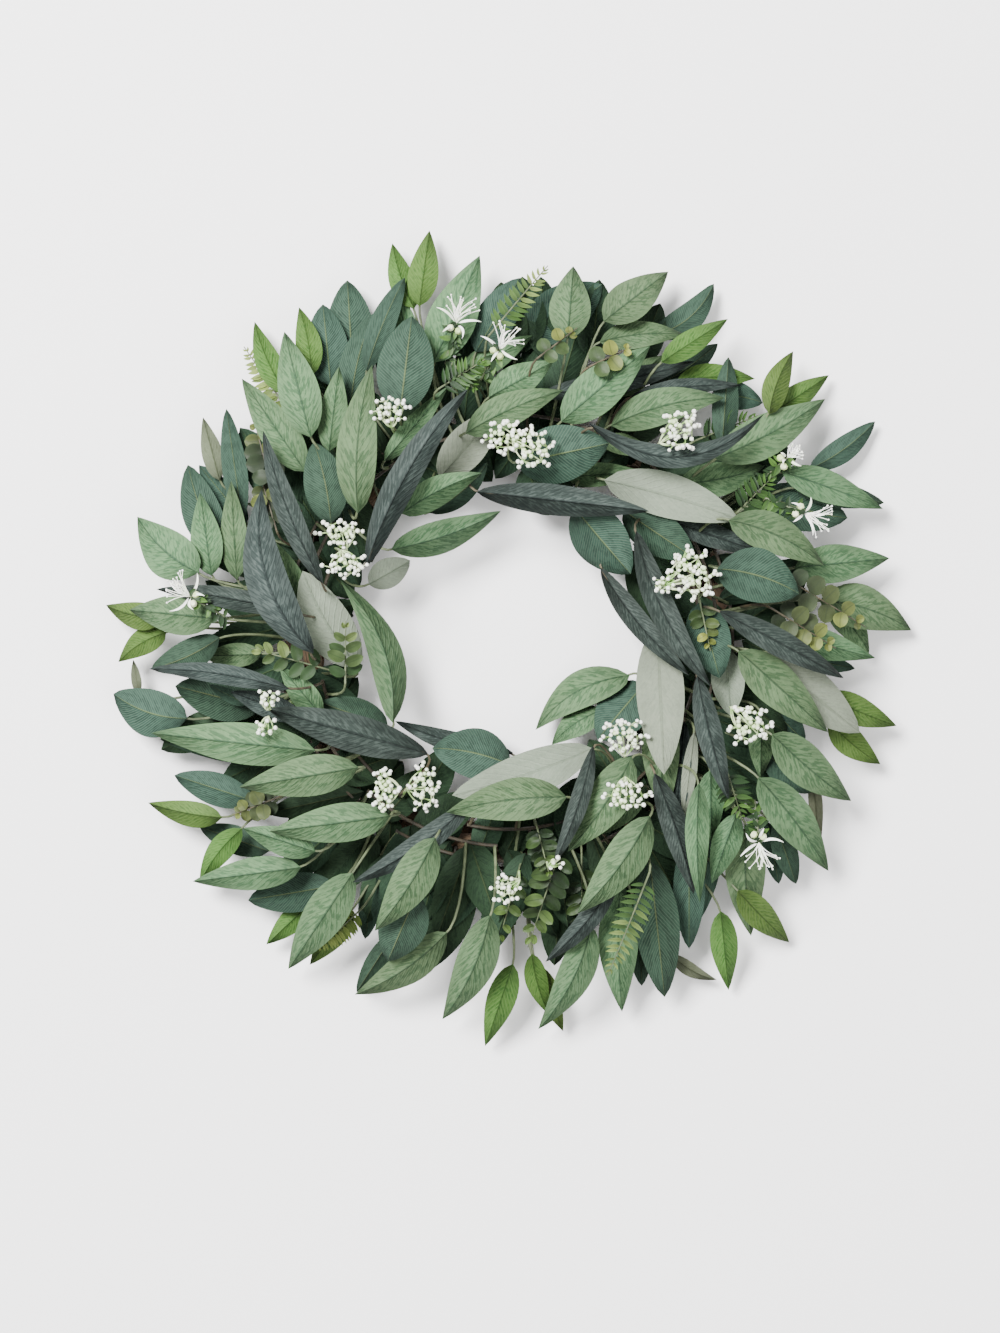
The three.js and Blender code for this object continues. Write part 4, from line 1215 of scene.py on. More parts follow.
@dataclass
class BladeShop:
    """Keeps one flat master blade of each cut, and lays copies of it."""

    least_half: float = 0.05
    ripple_growth: float = 1.5
    side_shift: float = 0.25
    masters: dict[BladeForm, Piece] = field(default_factory=dict)

    def master(self, form: BladeForm) -> Piece:
        """The flat blade of a cut, one unit long and wide, with a thin body.

        Args:
            form: The cut.

        Returns:
            The master.
        """
        if form in self.masters:
            return self.masters[form]
        pick_only()
        bpy.ops.mesh.primitive_grid_add(x_subdivisions=form.columns, y_subdivisions=form.rows, size=1.0)
        blade = bpy.context.active_object
        rows = sorted({round(point.co.y, ROW_DIGITS) for point in blade.data.vertices})
        bpy.ops.object.mode_set(mode="EDIT")
        bpy.ops.mesh.select_mode(type="VERT")
        for row in rows:
            pick_points(blade, lambda co, row=row: abs(co.y - row) < ROW_ROOM)
            width = float(form.swell(np.array(row + 0.5)))
            bpy.ops.transform.resize(value=(max(width, NARROWEST), 1.0, 1.0))
        bpy.ops.mesh.select_all(action="SELECT")
        bpy.ops.mesh.remove_doubles(threshold=MERGE)
        bpy.ops.object.mode_set(mode="OBJECT")
        bpy.ops.object.modifier_add(type="SOLIDIFY")
        blade.modifiers[-1].thickness = SHEET
        blade.modifiers[-1].offset = -1.0
        bpy.ops.object.modifier_apply(modifier=blade.modifiers[-1].name)
        blade.data.name = "master_blade"
        self.masters[form] = blade
        return blade

    def flat(self, leaf: Leaf) -> tuple[np.ndarray, np.ndarray, np.ndarray]:
        """Reads where the points of a leaf's master come on the leaf.

        Args:
            leaf: The leaf.

        Returns:
            Shares of the length, distances from the midrib and heights over the face.
        """
        points = read_points(self.master(leaf.form).data)
        t = np.clip(points[:, 1] + 0.5, 0.0, 1.0)
        return t, points[:, 0] * leaf.row.width, points[:, 2] / SHEET * leaf.form.thickness

    def put(self, leaf: Leaf, name: str, x: np.ndarray, y: np.ndarray, z: np.ndarray) -> Piece:
        """Puts a copy of a leaf's master where its points have been worked out.

        Args:
            leaf: The leaf.
            name: Name of the new object.
            x: Places along X in millimetres.
            y: Places along Y in millimetres.
            z: Heights in millimetres.

        Returns:
            The laid blade, in metres.
        """
        points = np.stack([x, y, z], axis=1) * MM
        laid = place_copy(self.master(leaf.form), name, points, leaf.finish, leaf.tone)
        note(laid.data, "age", leaf.age)
        return laid

    def lay(self, leaf: Leaf, name: str) -> Piece:
        """Lays a copy of the master where a leaf is, with its cup, ripples, curl and twist.

        Args:
            leaf: The leaf.
            name: Name of the new object.

        Returns:
            The laid blade, in metres.
        """
        form = leaf.form
        t, side, body = self.flat(leaf)
        half = np.maximum(leaf.half(t), self.least_half)
        across = np.clip(side / half, -1.0, 1.0)
        x, y = leaf.plan(t, side)
        z = leaf.height(x, y, side) + body
        swing = 2.0 * leaf.tone - 1.0
        ripple = np.sin(TURN * (form.ripples * t + leaf.tone + self.side_shift * np.sign(across)))
        z += form.wave * ripple * np.abs(across) ** self.ripple_growth
        z += form.cup * (np.abs(across) - CUP_MIDDLE) * form.swell(t)
        z += form.curl * swing * t ** 3
        z += form.twist * swing * side * np.sin(np.pi * t)
        return self.put(leaf, name, x, y, z)

    def clear(self) -> None:
        """Takes the masters away."""
        for blade in self.masters.values():
            bpy.data.objects.remove(blade)
        self.masters.clear()


BLADES = BladeShop()


@dataclass
class Stems:
    """Stems and stalks of one piece, drawn as curves with round sections and then made a mesh."""

    finish: str
    runs: list[tuple[list[Vector], list[float]]] = field(default_factory=list)

    def add(self, points: Sequence[Vector], *radii: float) -> None:
        """Adds a stalk.

        Args:
            points: Its points in millimetres.
            radii: Its radius at the start, and at the end if that differs.
        """
        last = len(points) - 1
        first, final = radii[0], radii[-1]
        self.runs.append((list(points), [first + (final - first) * i / last for i in range(last + 1)]))

    def bend(self, start: Vector, knee: Vector, end: Vector, *radii: float, steps: int = 6) -> None:
        """Adds a stalk that bends smoothly past a knee.

        Args:
            start: Where it starts.
            knee: What it bends towards.
            end: Where it ends.
            radii: Its radius at the start, and at the end if that differs.
            steps: How many straight lengths it has.
        """
        shares = [i / steps for i in range(steps + 1)]
        points = [start * (1 - s) ** 2 + knee * 2 * s * (1 - s) + end * s ** 2 for s in shares]
        self.add(points, *radii)

    def build(self, name: str) -> Piece:
        """Makes the mesh of all the stalks.

        Args:
            name: Name of the new object.

        Returns:
            The stalks, in metres.
        """
        curve = bpy.data.curves.new(name, "CURVE")
        curve.dimensions = "3D"
        curve.bevel_depth = MM
        curve.bevel_resolution = 1
        curve.use_fill_caps = True
        for points, radii in self.runs:
            spline = curve.splines.new("POLY")
            spline.points.add(len(points) - 1)
            for knot, point, radius in zip(spline.points, points, radii):
                knot.co = (*(point * MM), 1.0)
                knot.radius = radius
        drawn = bpy.data.objects.new(name, curve)
        bpy.context.collection.objects.link(drawn)
        pick_only(drawn)
        bpy.ops.object.convert(target="MESH")
        made = bpy.context.active_object
        made.data.materials.clear()
        made.data.materials.append(PALETTE.get(self.finish))
        note(made.data, "tone", 0.5)
        note(made.data, "age", 0.0)
        return made


@dataclass(frozen=True)
class Strand:
    """One strand of the ring: its thickness, how far it lies from the heart, and how it turns about it."""

    thick: float
    offset: float
    turns: int
    start: float
    sides: int


@dataclass
class VineRing:
    """The ring: strands twisted about one circle, flat where they dip to the ground, and thin tendrils."""

    thick: float = 7.2
    offset: float = 6.6
    strands: int = 3
    turns: int = 4
    sides: int = 12
    steps: int = 168
    dip: float = 1.1
    dips: int = 3
    big_knot: float = 0.05
    big_knots: float = 23.0
    small_knot: float = 0.03
    small_knots: float = 41.0
    tendrils: tuple[Strand, ...] = (Strand(2.0, 12.6, 7, 1.0, 6), Strand(1.6, 13.0, -9, 1.0, 6))

    def strand_mesh(self, strand: Strand) -> Piece:
        """Makes one strand, twisted round the ring's heart.

        Args:
            strand: The strand.

        Returns:
            Its mesh.
        """
        pick_only()
        bpy.ops.mesh.primitive_torus_add(major_radius=RING_RADIUS, minor_radius=strand.thick,
                                         major_segments=self.steps, minor_segments=strand.sides)
        made = bpy.context.active_object
        points = read_points(made.data)
        angle = np.arctan2(points[:, 1], points[:, 0])
        twist = strand.turns * angle + strand.start
        knots = 1.0 + self.big_knot * np.sin(self.big_knots * angle + strand.start)
        knots = knots + self.small_knot * np.sin(self.small_knots * angle)
        off = np.hypot(points[:, 0], points[:, 1]) - RING_RADIUS
        out = RING_RADIUS + off * knots + strand.offset * np.cos(twist)
        up = points[:, 2] * knots + strand.offset * np.sin(twist) + RING_HEIGHT
        up = up + self.dip * np.cos(self.dips * angle)
        laid = np.stack([out * np.cos(angle), out * np.sin(angle), np.maximum(up, 0.0)], axis=1)
        write_points(made.data, laid * MM)
        made.data.materials.append(PALETTE.get("vine_bark"))
        return made

    def build(self) -> None:
        """Makes the ring."""
        starts = [TURN * i / self.strands for i in range(self.strands)]
        strands = [Strand(self.thick, self.offset, self.turns, start, self.sides) for start in starts]
        parts = [self.strand_mesh(strand) for strand in (*strands, *self.tendrils)]
        settle_piece(joined(parts, "vine_strands"), "vine", "vine_ring")


@dataclass
class Spray:
    """All leaves of one kind, in sprays that each hang on a branch along the ring.

    The branch is a radius and a height. A leaf's stalk runs from its neck, under the blade, past its root
    and through a knee to the branch.
    """

    name: str
    form: BladeForm
    rows: Rows
    under: Rows
    branch: Pair
    sectors: int
    start: float
    stem: str = "stem_green"
    odd_finish: str = ""
    odd_rows: Rows = ()
    odd_under: Rows = ()
    seed: int = 1
    neck: float = 0.16
    root: float = 0.03
    neck_bend: float = 0.4
    neck_radii: Pair = (0.4, 0.8)
    stalk_radii: Pair = (0.8, 1.2)
    knee_share: float = 0.5
    knee_most: float = 16.0
    knee_drop: float = 3.0
    sector_room: float = 0.05
    wood: float = 1.3
    wood_end: float = 0.012
    wood_step: float = 0.05
    wood_least: int = 3
    leaves: list[Leaf] = field(default_factory=list)
    hidden: list[Leaf] = field(default_factory=list)

    def __post_init__(self) -> None:
        """Turns the rows into leaves, each with a tone of its own."""
        draw = random.Random(self.seed)
        self.leaves = [Leaf(Row(*row), self.form, self.name, draw.random()) for row in self.rows]
        self.leaves += [Leaf(Row(*row), self.form, self.odd_finish, draw.random()) for row in self.odd_rows]
        self.hidden = [Leaf(Row(*row), self.form, self.name, draw.random()) for row in self.under]
        self.hidden += [Leaf(Row(*row), self.form, self.odd_finish, draw.random()) for row in self.odd_under]

    def turn_of(self, leaf: Leaf, sector: int) -> float:
        """How far a leaf's root is turned past the start of a sector."""
        return (leaf.angle - self.start - sector * TURN / self.sectors) % TURN

    def hang(self, leaf: Leaf, foot: Vector, stems: Stems) -> None:
        """Hangs a leaf on its branch.

        Args:
            leaf: The leaf.
            foot: Where its stalk starts on the branch.
            stems: The stalks of the spray.
        """
        root, neck = leaf.under(self.root), leaf.under(self.neck)
        knee = root - leaf.way * min(self.knee_share * (root - foot).length, self.knee_most)
        knee.z = max(root.z - self.knee_drop, min(self.branch[1], root.z))
        stems.bend(neck, root.lerp(neck, self.neck_bend), root, *self.neck_radii, steps=2)
        stems.bend(root, knee, foot, *self.stalk_radii)

    def branch_mesh(self, first: float, last: float, name: str) -> Piece:
        """Makes the branch between two angles, and the short stalk that holds it on the ring.

        Args:
            first: Where it starts.
            last: Where it ends.
            name: Name of the new object.

        Returns:
            The branch.
        """
        radius, height = self.branch
        count = max(self.wood_least, int((last - first) / self.wood_step))
        arc = [around(radius, first + (last - first) * i / count, height) for i in range(count + 1)]
        wood = Stems("stem_wood")
        wood.add(arc, self.wood)
        middle = (first + last) / 2.0
        wood.add([around(radius, middle, height), around(RING_RADIUS, middle, RING_HEIGHT)], self.wood)
        return wood.build(name)

    def build_sector(self, sector: int) -> None:
        """Makes the spray of one sector: its leaves, their stalks and the branch.

        Args:
            sector: Which sector.
        """
        span = TURN / self.sectors
        low = self.start + sector * span
        leaves = [leaf for leaf in self.leaves + self.hidden if self.turn_of(leaf, sector) < span]
        if not leaves:
            return
        name = f"{self.name}_leaves_{sector + 1}"
        radius, height = self.branch
        stems = Stems(self.stem)
        turns = []
        for leaf in leaves:
            turn = min(max(self.turn_of(leaf, sector), self.sector_room), span - self.sector_room)
            turns.append(turn)
            self.hang(leaf, around(radius, low + turn, height), stems)
        first, last = low + min(turns) - self.wood_end, low + max(turns) + self.wood_end
        blades = [BLADES.lay(leaf, f"{name}_blade") for leaf in leaves]
        stalks = stems.build(f"{name}_stems")
        wood = self.branch_mesh(first, last, f"{name}_branch")
        piece = joined([*blades, stalks, wood], name)
        settle_piece(piece, f"leaf_{self.name}", f"{self.name}_spray_{sector + 1}")

    def build(self) -> None:
        """Makes every spray of the kind."""
        for sector in range(self.sectors):
            self.build_sector(sector)


@dataclass(frozen=True)
class Skirt:
    """Short leaves all the way round: their number, where they start and end, and how far they lean."""

    count: int
    root: float
    tips: Pair
    lean: float


@dataclass
class Undergrowth:
    """Short leaves low over the ring, which close the gaps between the sprays, in a dark green that is
    partly painted shade.
    """

    skirts: tuple[Skirt, ...] = (
        Skirt(64, 158.0, (214.0, 236.0), 0.22),
        Skirt(44, 166.0, (116.0, 124.0), 0.4),
    )
    jitter: float = 0.3
    widths: Pair = (22.0, 30.0)
    levels: Pair = (0.3, 1.3)
    seed: int = 11

    def build(self) -> None:
        """Makes the leaves, by rule with a seeded draw."""
        draw = random.Random(self.seed)
        leaves = []
        for index, skirt in enumerate(skirt for skirt in self.skirts for _ in range(skirt.count)):
            angle = TURN * (index + draw.uniform(-self.jitter, self.jitter)) / skirt.count
            last = draw.uniform(*skirt.tips)
            tip = around(last, angle + draw.uniform(-skirt.lean, skirt.lean), 0.0)
            root = around(skirt.root, angle, 0.0)
            width = draw.uniform(*self.widths)
            row = Row(root.x, root.y, tip.x, tip.y, width, 0.0, draw.uniform(*self.levels))
            # The shade finish is a dark green, partly painted shade
            leaves.append(Leaf(row, Form.DARK.value, "shade", draw.random()))
        leaves += [Leaf(Row(*row), Form.DARK.value, "shade", draw.random()) for row in GAP_ROWS]
        blades = [BLADES.lay(leaf, "undergrowth_blade") for leaf in leaves]
        settle_piece(joined(blades, "undergrowth"), "leaf_dark")


@dataclass
class Frond:
    """Stems with small leaves in pairs: a fern, a sprig of round leaves or a tuft.

    Slim is a small leaf's width for its length, and lean is how far ahead along the stem its tip is. A stem
    has a bare share first and a leafy one after it.
    """

    node: str
    slot: str
    finish: str
    form: BladeForm
    pairs: int
    slim: float
    lean: float
    rows: Rows
    stem: str = "stem_green"
    extra: Rows = ()
    extra_finish: str = ""
    tilt: float = 0.0
    bare: float = 0.1
    leafy: float = 0.86
    jitter: float = 0.25
    last_tip: float = 0.98
    least_width: float = 1.6
    bow: float = 0.4
    tilt_middle: float = 0.3
    steps: int = 8
    sink: float = 0.3
    stem_radii: Pair = (0.8, 0.35)
    foot_radii: Pair = (0.8, 1.2)
    knee_back: float = 12.0
    knee_drop: float = 4.0
    stems: list[Leaf] = field(default_factory=list)
    more: list[Leaf] = field(default_factory=list)

    def __post_init__(self) -> None:
        """Turns the rows into stems."""
        extra_finish = self.extra_finish or self.finish
        self.stems = [Leaf(Row(*row), Form.STEM.value, self.finish) for row in self.rows]
        self.more = [Leaf(Row(*row), Form.STEM.value, extra_finish) for row in self.extra]

    def leaflet(self, stem: Leaf, t: float, side: int, tone: float) -> Leaf:
        """One small leaf on a side of a stem.

        Args:
            stem: The stem.
            t: Where it starts along the stem.
            side: 1 for left, -1 for right.
            tone: Its own tone.

        Returns:
            The leaf.
        """
        end = min(self.last_tip, t + self.lean)
        x0, y0 = stem.plan(np.array([t]), np.array([0.0]))
        x1, y1 = stem.plan(np.array([end]), stem.half(np.array([end])) * side)
        width = max(math.hypot(x1[0] - x0[0], y1[0] - y0[0]) * self.slim, self.least_width)
        row = Row(x0[0], y0[0], x1[0], y1[0], width, self.bow * side, stem.row.level)
        return Leaf(row, self.form, stem.finish, tone, stem.lift + self.tilt * (tone - self.tilt_middle), t)

    def build(self) -> None:
        """Makes the frond."""
        draw = random.Random(self.node)
        parts = []
        stems = Stems(self.stem)
        for stem in self.stems + self.more:
            for pair in range(self.pairs):
                t = self.bare + self.leafy * (pair + 0.5) / self.pairs
                for side in (-1, 1):
                    start = t + draw.uniform(-self.jitter, self.jitter) * self.leafy / self.pairs
                    parts.append(BLADES.lay(self.leaflet(stem, start, side, draw.random()), "leaflet"))
            spots = [stem.spot(i / self.steps, self.sink) for i in range(self.steps + 1)]
            stems.add(spots, *self.stem_radii)
            root = stem.spot(0.0, self.sink)
            knee = root - stem.way * self.knee_back - upward(self.knee_drop)
            stems.bend(root, knee, ring_foot(stem.outward, stem.angle), *self.foot_radii)
        parts.append(stems.build(f"{self.node}_stems"))
        settle_piece(joined(parts, f"{self.node}_sprig"), self.slot, self.node)


def ball_master(radius: float) -> Piece:
    """Makes a ball drawn out a little, with a dimple at its end, to copy berries and buds from.

    Args:
        radius: Its radius in millimetres.

    Returns:
        The master.
    """
    pick_only()
    bpy.ops.mesh.primitive_uv_sphere_add(segments=BALL_SEGMENTS, ring_count=BALL_RINGS, radius=radius * MM)
    ball = bpy.context.active_object
    bpy.ops.object.mode_set(mode="EDIT")
    bpy.ops.mesh.select_mode(type="VERT")
    pick_points(ball, lambda co: co.z > radius * MM * BALL_CAP)
    bpy.ops.transform.translate(value=(0.0, 0.0, -radius * MM * BALL_DIMPLE))
    bpy.ops.mesh.select_all(action="SELECT")
    bpy.ops.transform.resize(value=(1.0, 1.0, BALL_STRETCH))
    bpy.ops.object.mode_set(mode="OBJECT")
    return ball


class Head(NamedTuple):
    """A berry head: its middle, half its width and half its depth."""

    x: float
    y: float
    wide: float
    deep: float

    def spot(self, share: float, turn: float, z: float) -> Vector:
        """A point at a share of the way from the middle to the rim.

        Args:
            share: The share.
            turn: The way from the middle.
            z: Its height.

        Returns:
            The point.
        """
        x = self.x + self.wide * share * math.cos(turn)
        y = self.y + self.deep * share * math.sin(turn)
        return Vector((x, y, z))

    def off(self, x: float, y: float) -> float:
        """How far out a place is, from 0 in the middle to 1 at the rim, squared."""
        return ((x - self.x) / self.wide) ** 2 + ((y - self.y) / self.deep) ** 2


@dataclass
class BerryBunch:
    """Heads of white berries on forked pale stalks.

    A stalk rises from the ring to a fork beside its head. Its arms end in joints, one of them in the
    middle, and the berries stand round the joints.
    """

    node: str
    heads: tuple[Head, ...]
    level: float = 4.0
    rise: float = 3.7
    swing: float = 0.1
    fork_out: float = 1.12
    fork_sink: float = 1.0
    fork_drop: float = 14.0
    foot_bend: float = 0.6
    foot_radii: Pair = (1.2, 0.9)
    fork_radii: Pair = (0.9, 0.7)
    arms: int = 7
    arm_jitter: float = 0.25
    arm_out: Pair = (0.52, 0.66)
    arm_rise: float = 1.0
    arm_bend: float = 0.45
    arm_bow: float = 0.35
    arm_lift: float = 4.0
    arm_radii: Pair = (0.6, 0.45)
    berry: float = 1.7
    spacing: float = 3.9
    jitter: float = 0.4
    clump: float = 0.44
    scatter: Pair = (0.85, 1.15)
    crown: float = 6.0
    crown_fall: float = 0.8
    crown_edge: float = 1.2
    clump_rise: float = 1.6
    height_jitter: float = 1.4
    sizes: Pair = (0.82, 1.12)
    stalk_radii: Pair = (0.4, 0.32)
    casts: Pair = (0.4, 1.0)
    tops: list[float] = field(default_factory=list)

    def find_tops(self, heap: Heap) -> None:
        """Works out how high each head stands over the foliage under it."""
        for head in self.heads:
            self.tops.append(heap.top(head.x, head.y, head.wide, head.deep, self.level) + self.rise)

    def fork(self, index: int, stems: Stems) -> Vector:
        """Raises a head's stalk from the ring to its fork.

        Args:
            index: Which head.
            stems: The stalks of the bunch.

        Returns:
            The fork.
        """
        head, other = self.heads[index], self.heads[index - 1]
        goal = Vector((other.x, other.y, 0.0))
        # A head alone has its fork on along the ring, and the others have theirs towards their neighbour
        if len(self.heads) == 1:
            goal = around(RING_RADIUS, math.atan2(head.y, head.x) + self.swing, 0.0)
        aim = math.atan2(goal.y - head.y, goal.x - head.x)
        fork = head.spot(self.fork_out, aim, self.tops[index] - self.fork_sink)
        foot = ring_foot(math.hypot(head.x, head.y) > RING_RADIUS, math.atan2(fork.y, fork.x))
        low = fork - upward(self.fork_drop)
        stems.bend(foot, foot.lerp(low, self.foot_bend), low, *self.foot_radii)
        stems.bend(low, low.lerp(fork, 0.5), fork, *self.fork_radii, steps=2)
        return fork

    def joints(self, index: int, fork: Vector, stems: Stems, draw: random.Random) -> list[Vector]:
        """Spreads the arms of a head's stalk.

        Args:
            index: Which head.
            fork: Where they start.
            stems: The stalks of the bunch.
            draw: The seeded draw.

        Returns:
            Where they end.
        """
        head = self.heads[index]
        joints = []
        for arm in range(self.arms):
            turn = TURN * arm / (self.arms - 1) + draw.uniform(-self.arm_jitter, self.arm_jitter)
            share = draw.uniform(*self.arm_out) if arm < self.arms - 1 else 0.0
            joint = head.spot(share, turn, self.tops[index] + self.arm_rise)
            bow = self.arm_bow * (joint - Vector((head.x, head.y, joint.z)))
            knee = fork.lerp(joint, self.arm_bend) + upward(self.arm_lift) + bow
            stems.bend(fork, knee, joint, *self.arm_radii)
            joints.append(joint)
        return joints

    def berries(self, index: int, joints: Sequence[Vector], ball: Piece, stems: Stems,
                draw: random.Random) -> list[Piece]:
        """Sets the berries of a head round its joints, each on a stalk.

        Args:
            index: Which head.
            joints: The joints.
            ball: The berry to copy.
            stems: The stalks of the bunch.
            draw: The seeded draw.

        Returns:
            The berries.
        """
        head = self.heads[index]
        flat = read_points(ball.data)
        count = int(math.pi * head.wide * head.deep / self.spacing ** 2)
        berries = []
        for number in range(count):
            joint = joints[number % self.arms]
            share = math.sqrt((number // self.arms + 0.5) / (count / self.arms))
            turn = GOLDEN * number + draw.uniform(-self.jitter, self.jitter)
            reach = share * self.clump * draw.uniform(*self.scatter)
            away = Vector((head.wide * reach * math.cos(turn), head.deep * reach * math.sin(turn), 0.0))
            x, y = joint.x + away.x, joint.y + away.y
            off = head.off(x, y)
            height = self.crown * (1.0 - self.crown_fall * min(off, self.crown_edge))
            height = height + self.clump_rise * (1.0 - share)
            height = height + draw.uniform(-self.height_jitter, self.height_jitter)
            place = Vector((x, y, self.tops[index] + height))
            stems.add([joint, place], *self.stalk_radii)
            points = flat * draw.uniform(*self.sizes) + np.array(place * MM)
            tone = max(0.0, 1.0 - off) * draw.uniform(*self.casts)
            berries.append(place_copy(ball, "berry", points, "berry_white", tone))
        return berries

    def build(self) -> None:
        """Makes the heads of the bunch."""
        draw = random.Random(self.node)
        ball = ball_master(self.berry)
        stems = Stems("stem_pale")
        parts = []
        for index in range(len(self.heads)):
            fork = self.fork(index, stems)
            joints = self.joints(index, fork, stems, draw)
            parts += self.berries(index, joints, ball, stems, draw)
        bpy.data.objects.remove(ball)
        parts.append(stems.build(f"{self.node}_stalks"))
        settle_piece(joined(parts, f"{self.node}_heads"), "berry", self.node)


class Flower(NamedTuple):
    """A bloom: its middle, the reach and number of its petals, and the way its fan of threads points."""

    x: float
    y: float
    reach: float
    petals: int
    fan: float


@dataclass
class Bloom:
    """Spidery white blooms: narrow petals that arch out, threads with knobs, buds and a leafy stem.

    The front is where a bloom's threads point, and its buds and its stem lie at the back.
    """

    node: str
    flowers: tuple[Flower, ...]
    level: float = 4.0
    lift: float = 2.0
    petal_root: float = 1.4
    petal_width: float = 1.9
    petal_rise: float = 7.0
    petal_arch: float = 0.66
    petal_fold: float = 0.4
    petal_bow: float = 3.0
    petal_reach: Pair = (0.85, 1.05)
    front_share: float = 0.95
    back_share: float = 0.62
    front_turn: float = 1.6
    threads: int = 17
    thread_turn: float = 0.85
    thread_reach: Pair = (0.6, 1.08)
    thread_rise: Pair = (3.0, 9.0)
    thread_knee: float = 0.35
    thread_aside: float = 5.0
    thread_lift: float = 7.0
    thread_radii: Pair = (0.34, 0.24)
    knob: float = 0.75
    buds: int = 2
    bud: float = 2.9
    bud_back: Pair = (3.0, 6.5)
    bud_apart: float = 6.5
    bud_rise: float = 2.0
    stem_back: float = 30.0
    stem_drop: float = 9.0
    stem_knee: float = 8.0
    stem_radii: Pair = (0.8, 0.9)
    foot_radii: Pair = (0.9, 1.1)
    sprouts: int = 24
    sprout_rise: float = 3.0
    sprout_fall: float = 2.0
    sprout_scatter: Pair = (-1.0, 1.5)
    sprout_turn: float = 1.9
    sprout_reach: Pair = (7.0, 11.0)
    sprout_slim: float = 0.42
    sprout_bow: float = 0.6
    tops: list[float] = field(default_factory=list)

    def find_tops(self, heap: Heap) -> None:
        """Works out how high each heart stands over the foliage under it."""
        for one in self.flowers:
            self.tops.append(heap.top(one.x, one.y, one.reach, one.reach, self.level) + self.lift)

    def stem(self, flower: Flower, heart: Vector, stems: Stems) -> Vector:
        """Leads a bloom's stem back and down into the ring.

        Args:
            flower: The bloom.
            heart: Its middle.
            stems: The stems of the node.

        Returns:
            Where the stem's leafy length ends.
        """
        ahead = heading(flower.fan)
        back = heart - ahead * self.stem_back - upward(self.stem_drop)
        foot = ring_foot(True, math.atan2(flower.y, flower.x))
        stems.bend(heart, heart - ahead * (self.stem_back / 2.0), back, *self.stem_radii)
        stems.bend(back, back - upward(self.stem_knee), foot, *self.foot_radii)
        return back

    def petal(self, heart: Vector, turn: float, reach: float, bow: float, tone: float) -> Piece:
        """One petal, laid along its own arch.

        Args:
            heart: Middle of the bloom.
            turn: Where the petal points.
            reach: How far its tip is from the heart.
            bow: How far its middle swings aside.
            tone: Its own tone.

        Returns:
            The petal.
        """
        way = heading(turn)
        row = Row(heart.x + self.petal_root * way.x, heart.y + self.petal_root * way.y,
                  heart.x + reach * way.x, heart.y + reach * way.y, self.petal_width, bow, 0.0)
        leaf = Leaf(row, Form.PETAL.value, "petal_white", tone)
        t, side, body = BLADES.flat(leaf)
        x, y = leaf.plan(t, side)
        arch = self.petal_rise * np.sin(np.pi * self.petal_arch * t)
        return BLADES.put(leaf, "petal", x, y, heart.z + arch + self.petal_fold * np.abs(side) + body)

    def petals(self, index: int, heart: Vector, draw: random.Random) -> list[Piece]:
        """Makes a bloom's petals, the longer ones on the side where its threads point.

        Args:
            index: Which bloom.
            heart: Its middle.
            draw: The seeded draw.

        Returns:
            The petals.
        """
        flower = self.flowers[index]
        petals = []
        for number in range(flower.petals):
            turn = TURN * number / flower.petals + index
            apart = abs((turn - flower.fan + math.pi) % TURN - math.pi)
            share = self.front_share if apart < self.front_turn else self.back_share
            reach = flower.reach * share * draw.uniform(*self.petal_reach)
            bow = draw.uniform(-self.petal_bow, self.petal_bow)
            petals.append(self.petal(heart, turn, reach, bow, draw.random()))
        return petals

    def fan(self, flower: Flower, heart: Vector, knob: Piece, threads: Stems,
            draw: random.Random) -> list[Piece]:
        """Makes a bloom's threads, each with a knob at its tip.

        Args:
            flower: The bloom.
            heart: Its middle.
            knob: The knob to copy.
            threads: The threads of the node.
            draw: The seeded draw.

        Returns:
            The knobs.
        """
        ahead = heading(flower.fan)
        aside = Vector((-ahead.y, ahead.x, 0.0))
        dot = read_points(knob.data)
        knobs = []
        for _ in range(self.threads):
            turn = flower.fan + draw.uniform(-self.thread_turn, self.thread_turn)
            reach = flower.reach * draw.uniform(*self.thread_reach)
            height = draw.uniform(*self.thread_rise)
            tip = heart + Vector((reach * math.cos(turn), reach * math.sin(turn), height))
            swing = aside * draw.uniform(-self.thread_aside, self.thread_aside)
            knee = heart + ahead * reach * self.thread_knee + swing + upward(self.thread_lift)
            threads.bend(heart, knee, tip, *self.thread_radii)
            knobs.append(place_copy(knob, "knob", dot + np.array(tip * MM), "petal_white", draw.random()))
        return knobs

    def young(self, flower: Flower, heart: Vector, bud: Piece, draw: random.Random) -> list[Piece]:
        """Makes the buds behind a bloom.

        Args:
            flower: The bloom.
            heart: Its middle.
            bud: The bud to copy.
            draw: The seeded draw.

        Returns:
            The buds.
        """
        ahead = heading(flower.fan)
        aside = Vector((-ahead.y, ahead.x, 0.0))
        ball = read_points(bud.data)
        buds = []
        for number in range(self.buds):
            spot = heart - ahead * draw.uniform(*self.bud_back) + aside * (number - 0.5) * self.bud_apart
            points = ball + np.array((spot + upward(self.bud_rise)) * MM)
            buds.append(place_copy(bud, "bud", points, "bud_green", draw.random()))
        return buds

    def sprout(self, root: Vector, turn: float, reach: float, tone: float) -> Piece:
        """One small pointed green leaf on the stem behind a bloom.

        Args:
            root: Where it starts.
            turn: Where it points.
            reach: How long it is.
            tone: Its own tone.

        Returns:
            The leaf.
        """
        way = heading(turn)
        row = Row(root.x, root.y, root.x + reach * way.x, root.y + reach * way.y, reach * self.sprout_slim,
                  self.sprout_bow, 0.0)
        leaf = Leaf(row, Form.FERN.value, "tuft", tone, age=tone)
        leaf.lift = root.z - MOUND.at(root.x, root.y, row.level)
        return BLADES.lay(leaf, "sprout")

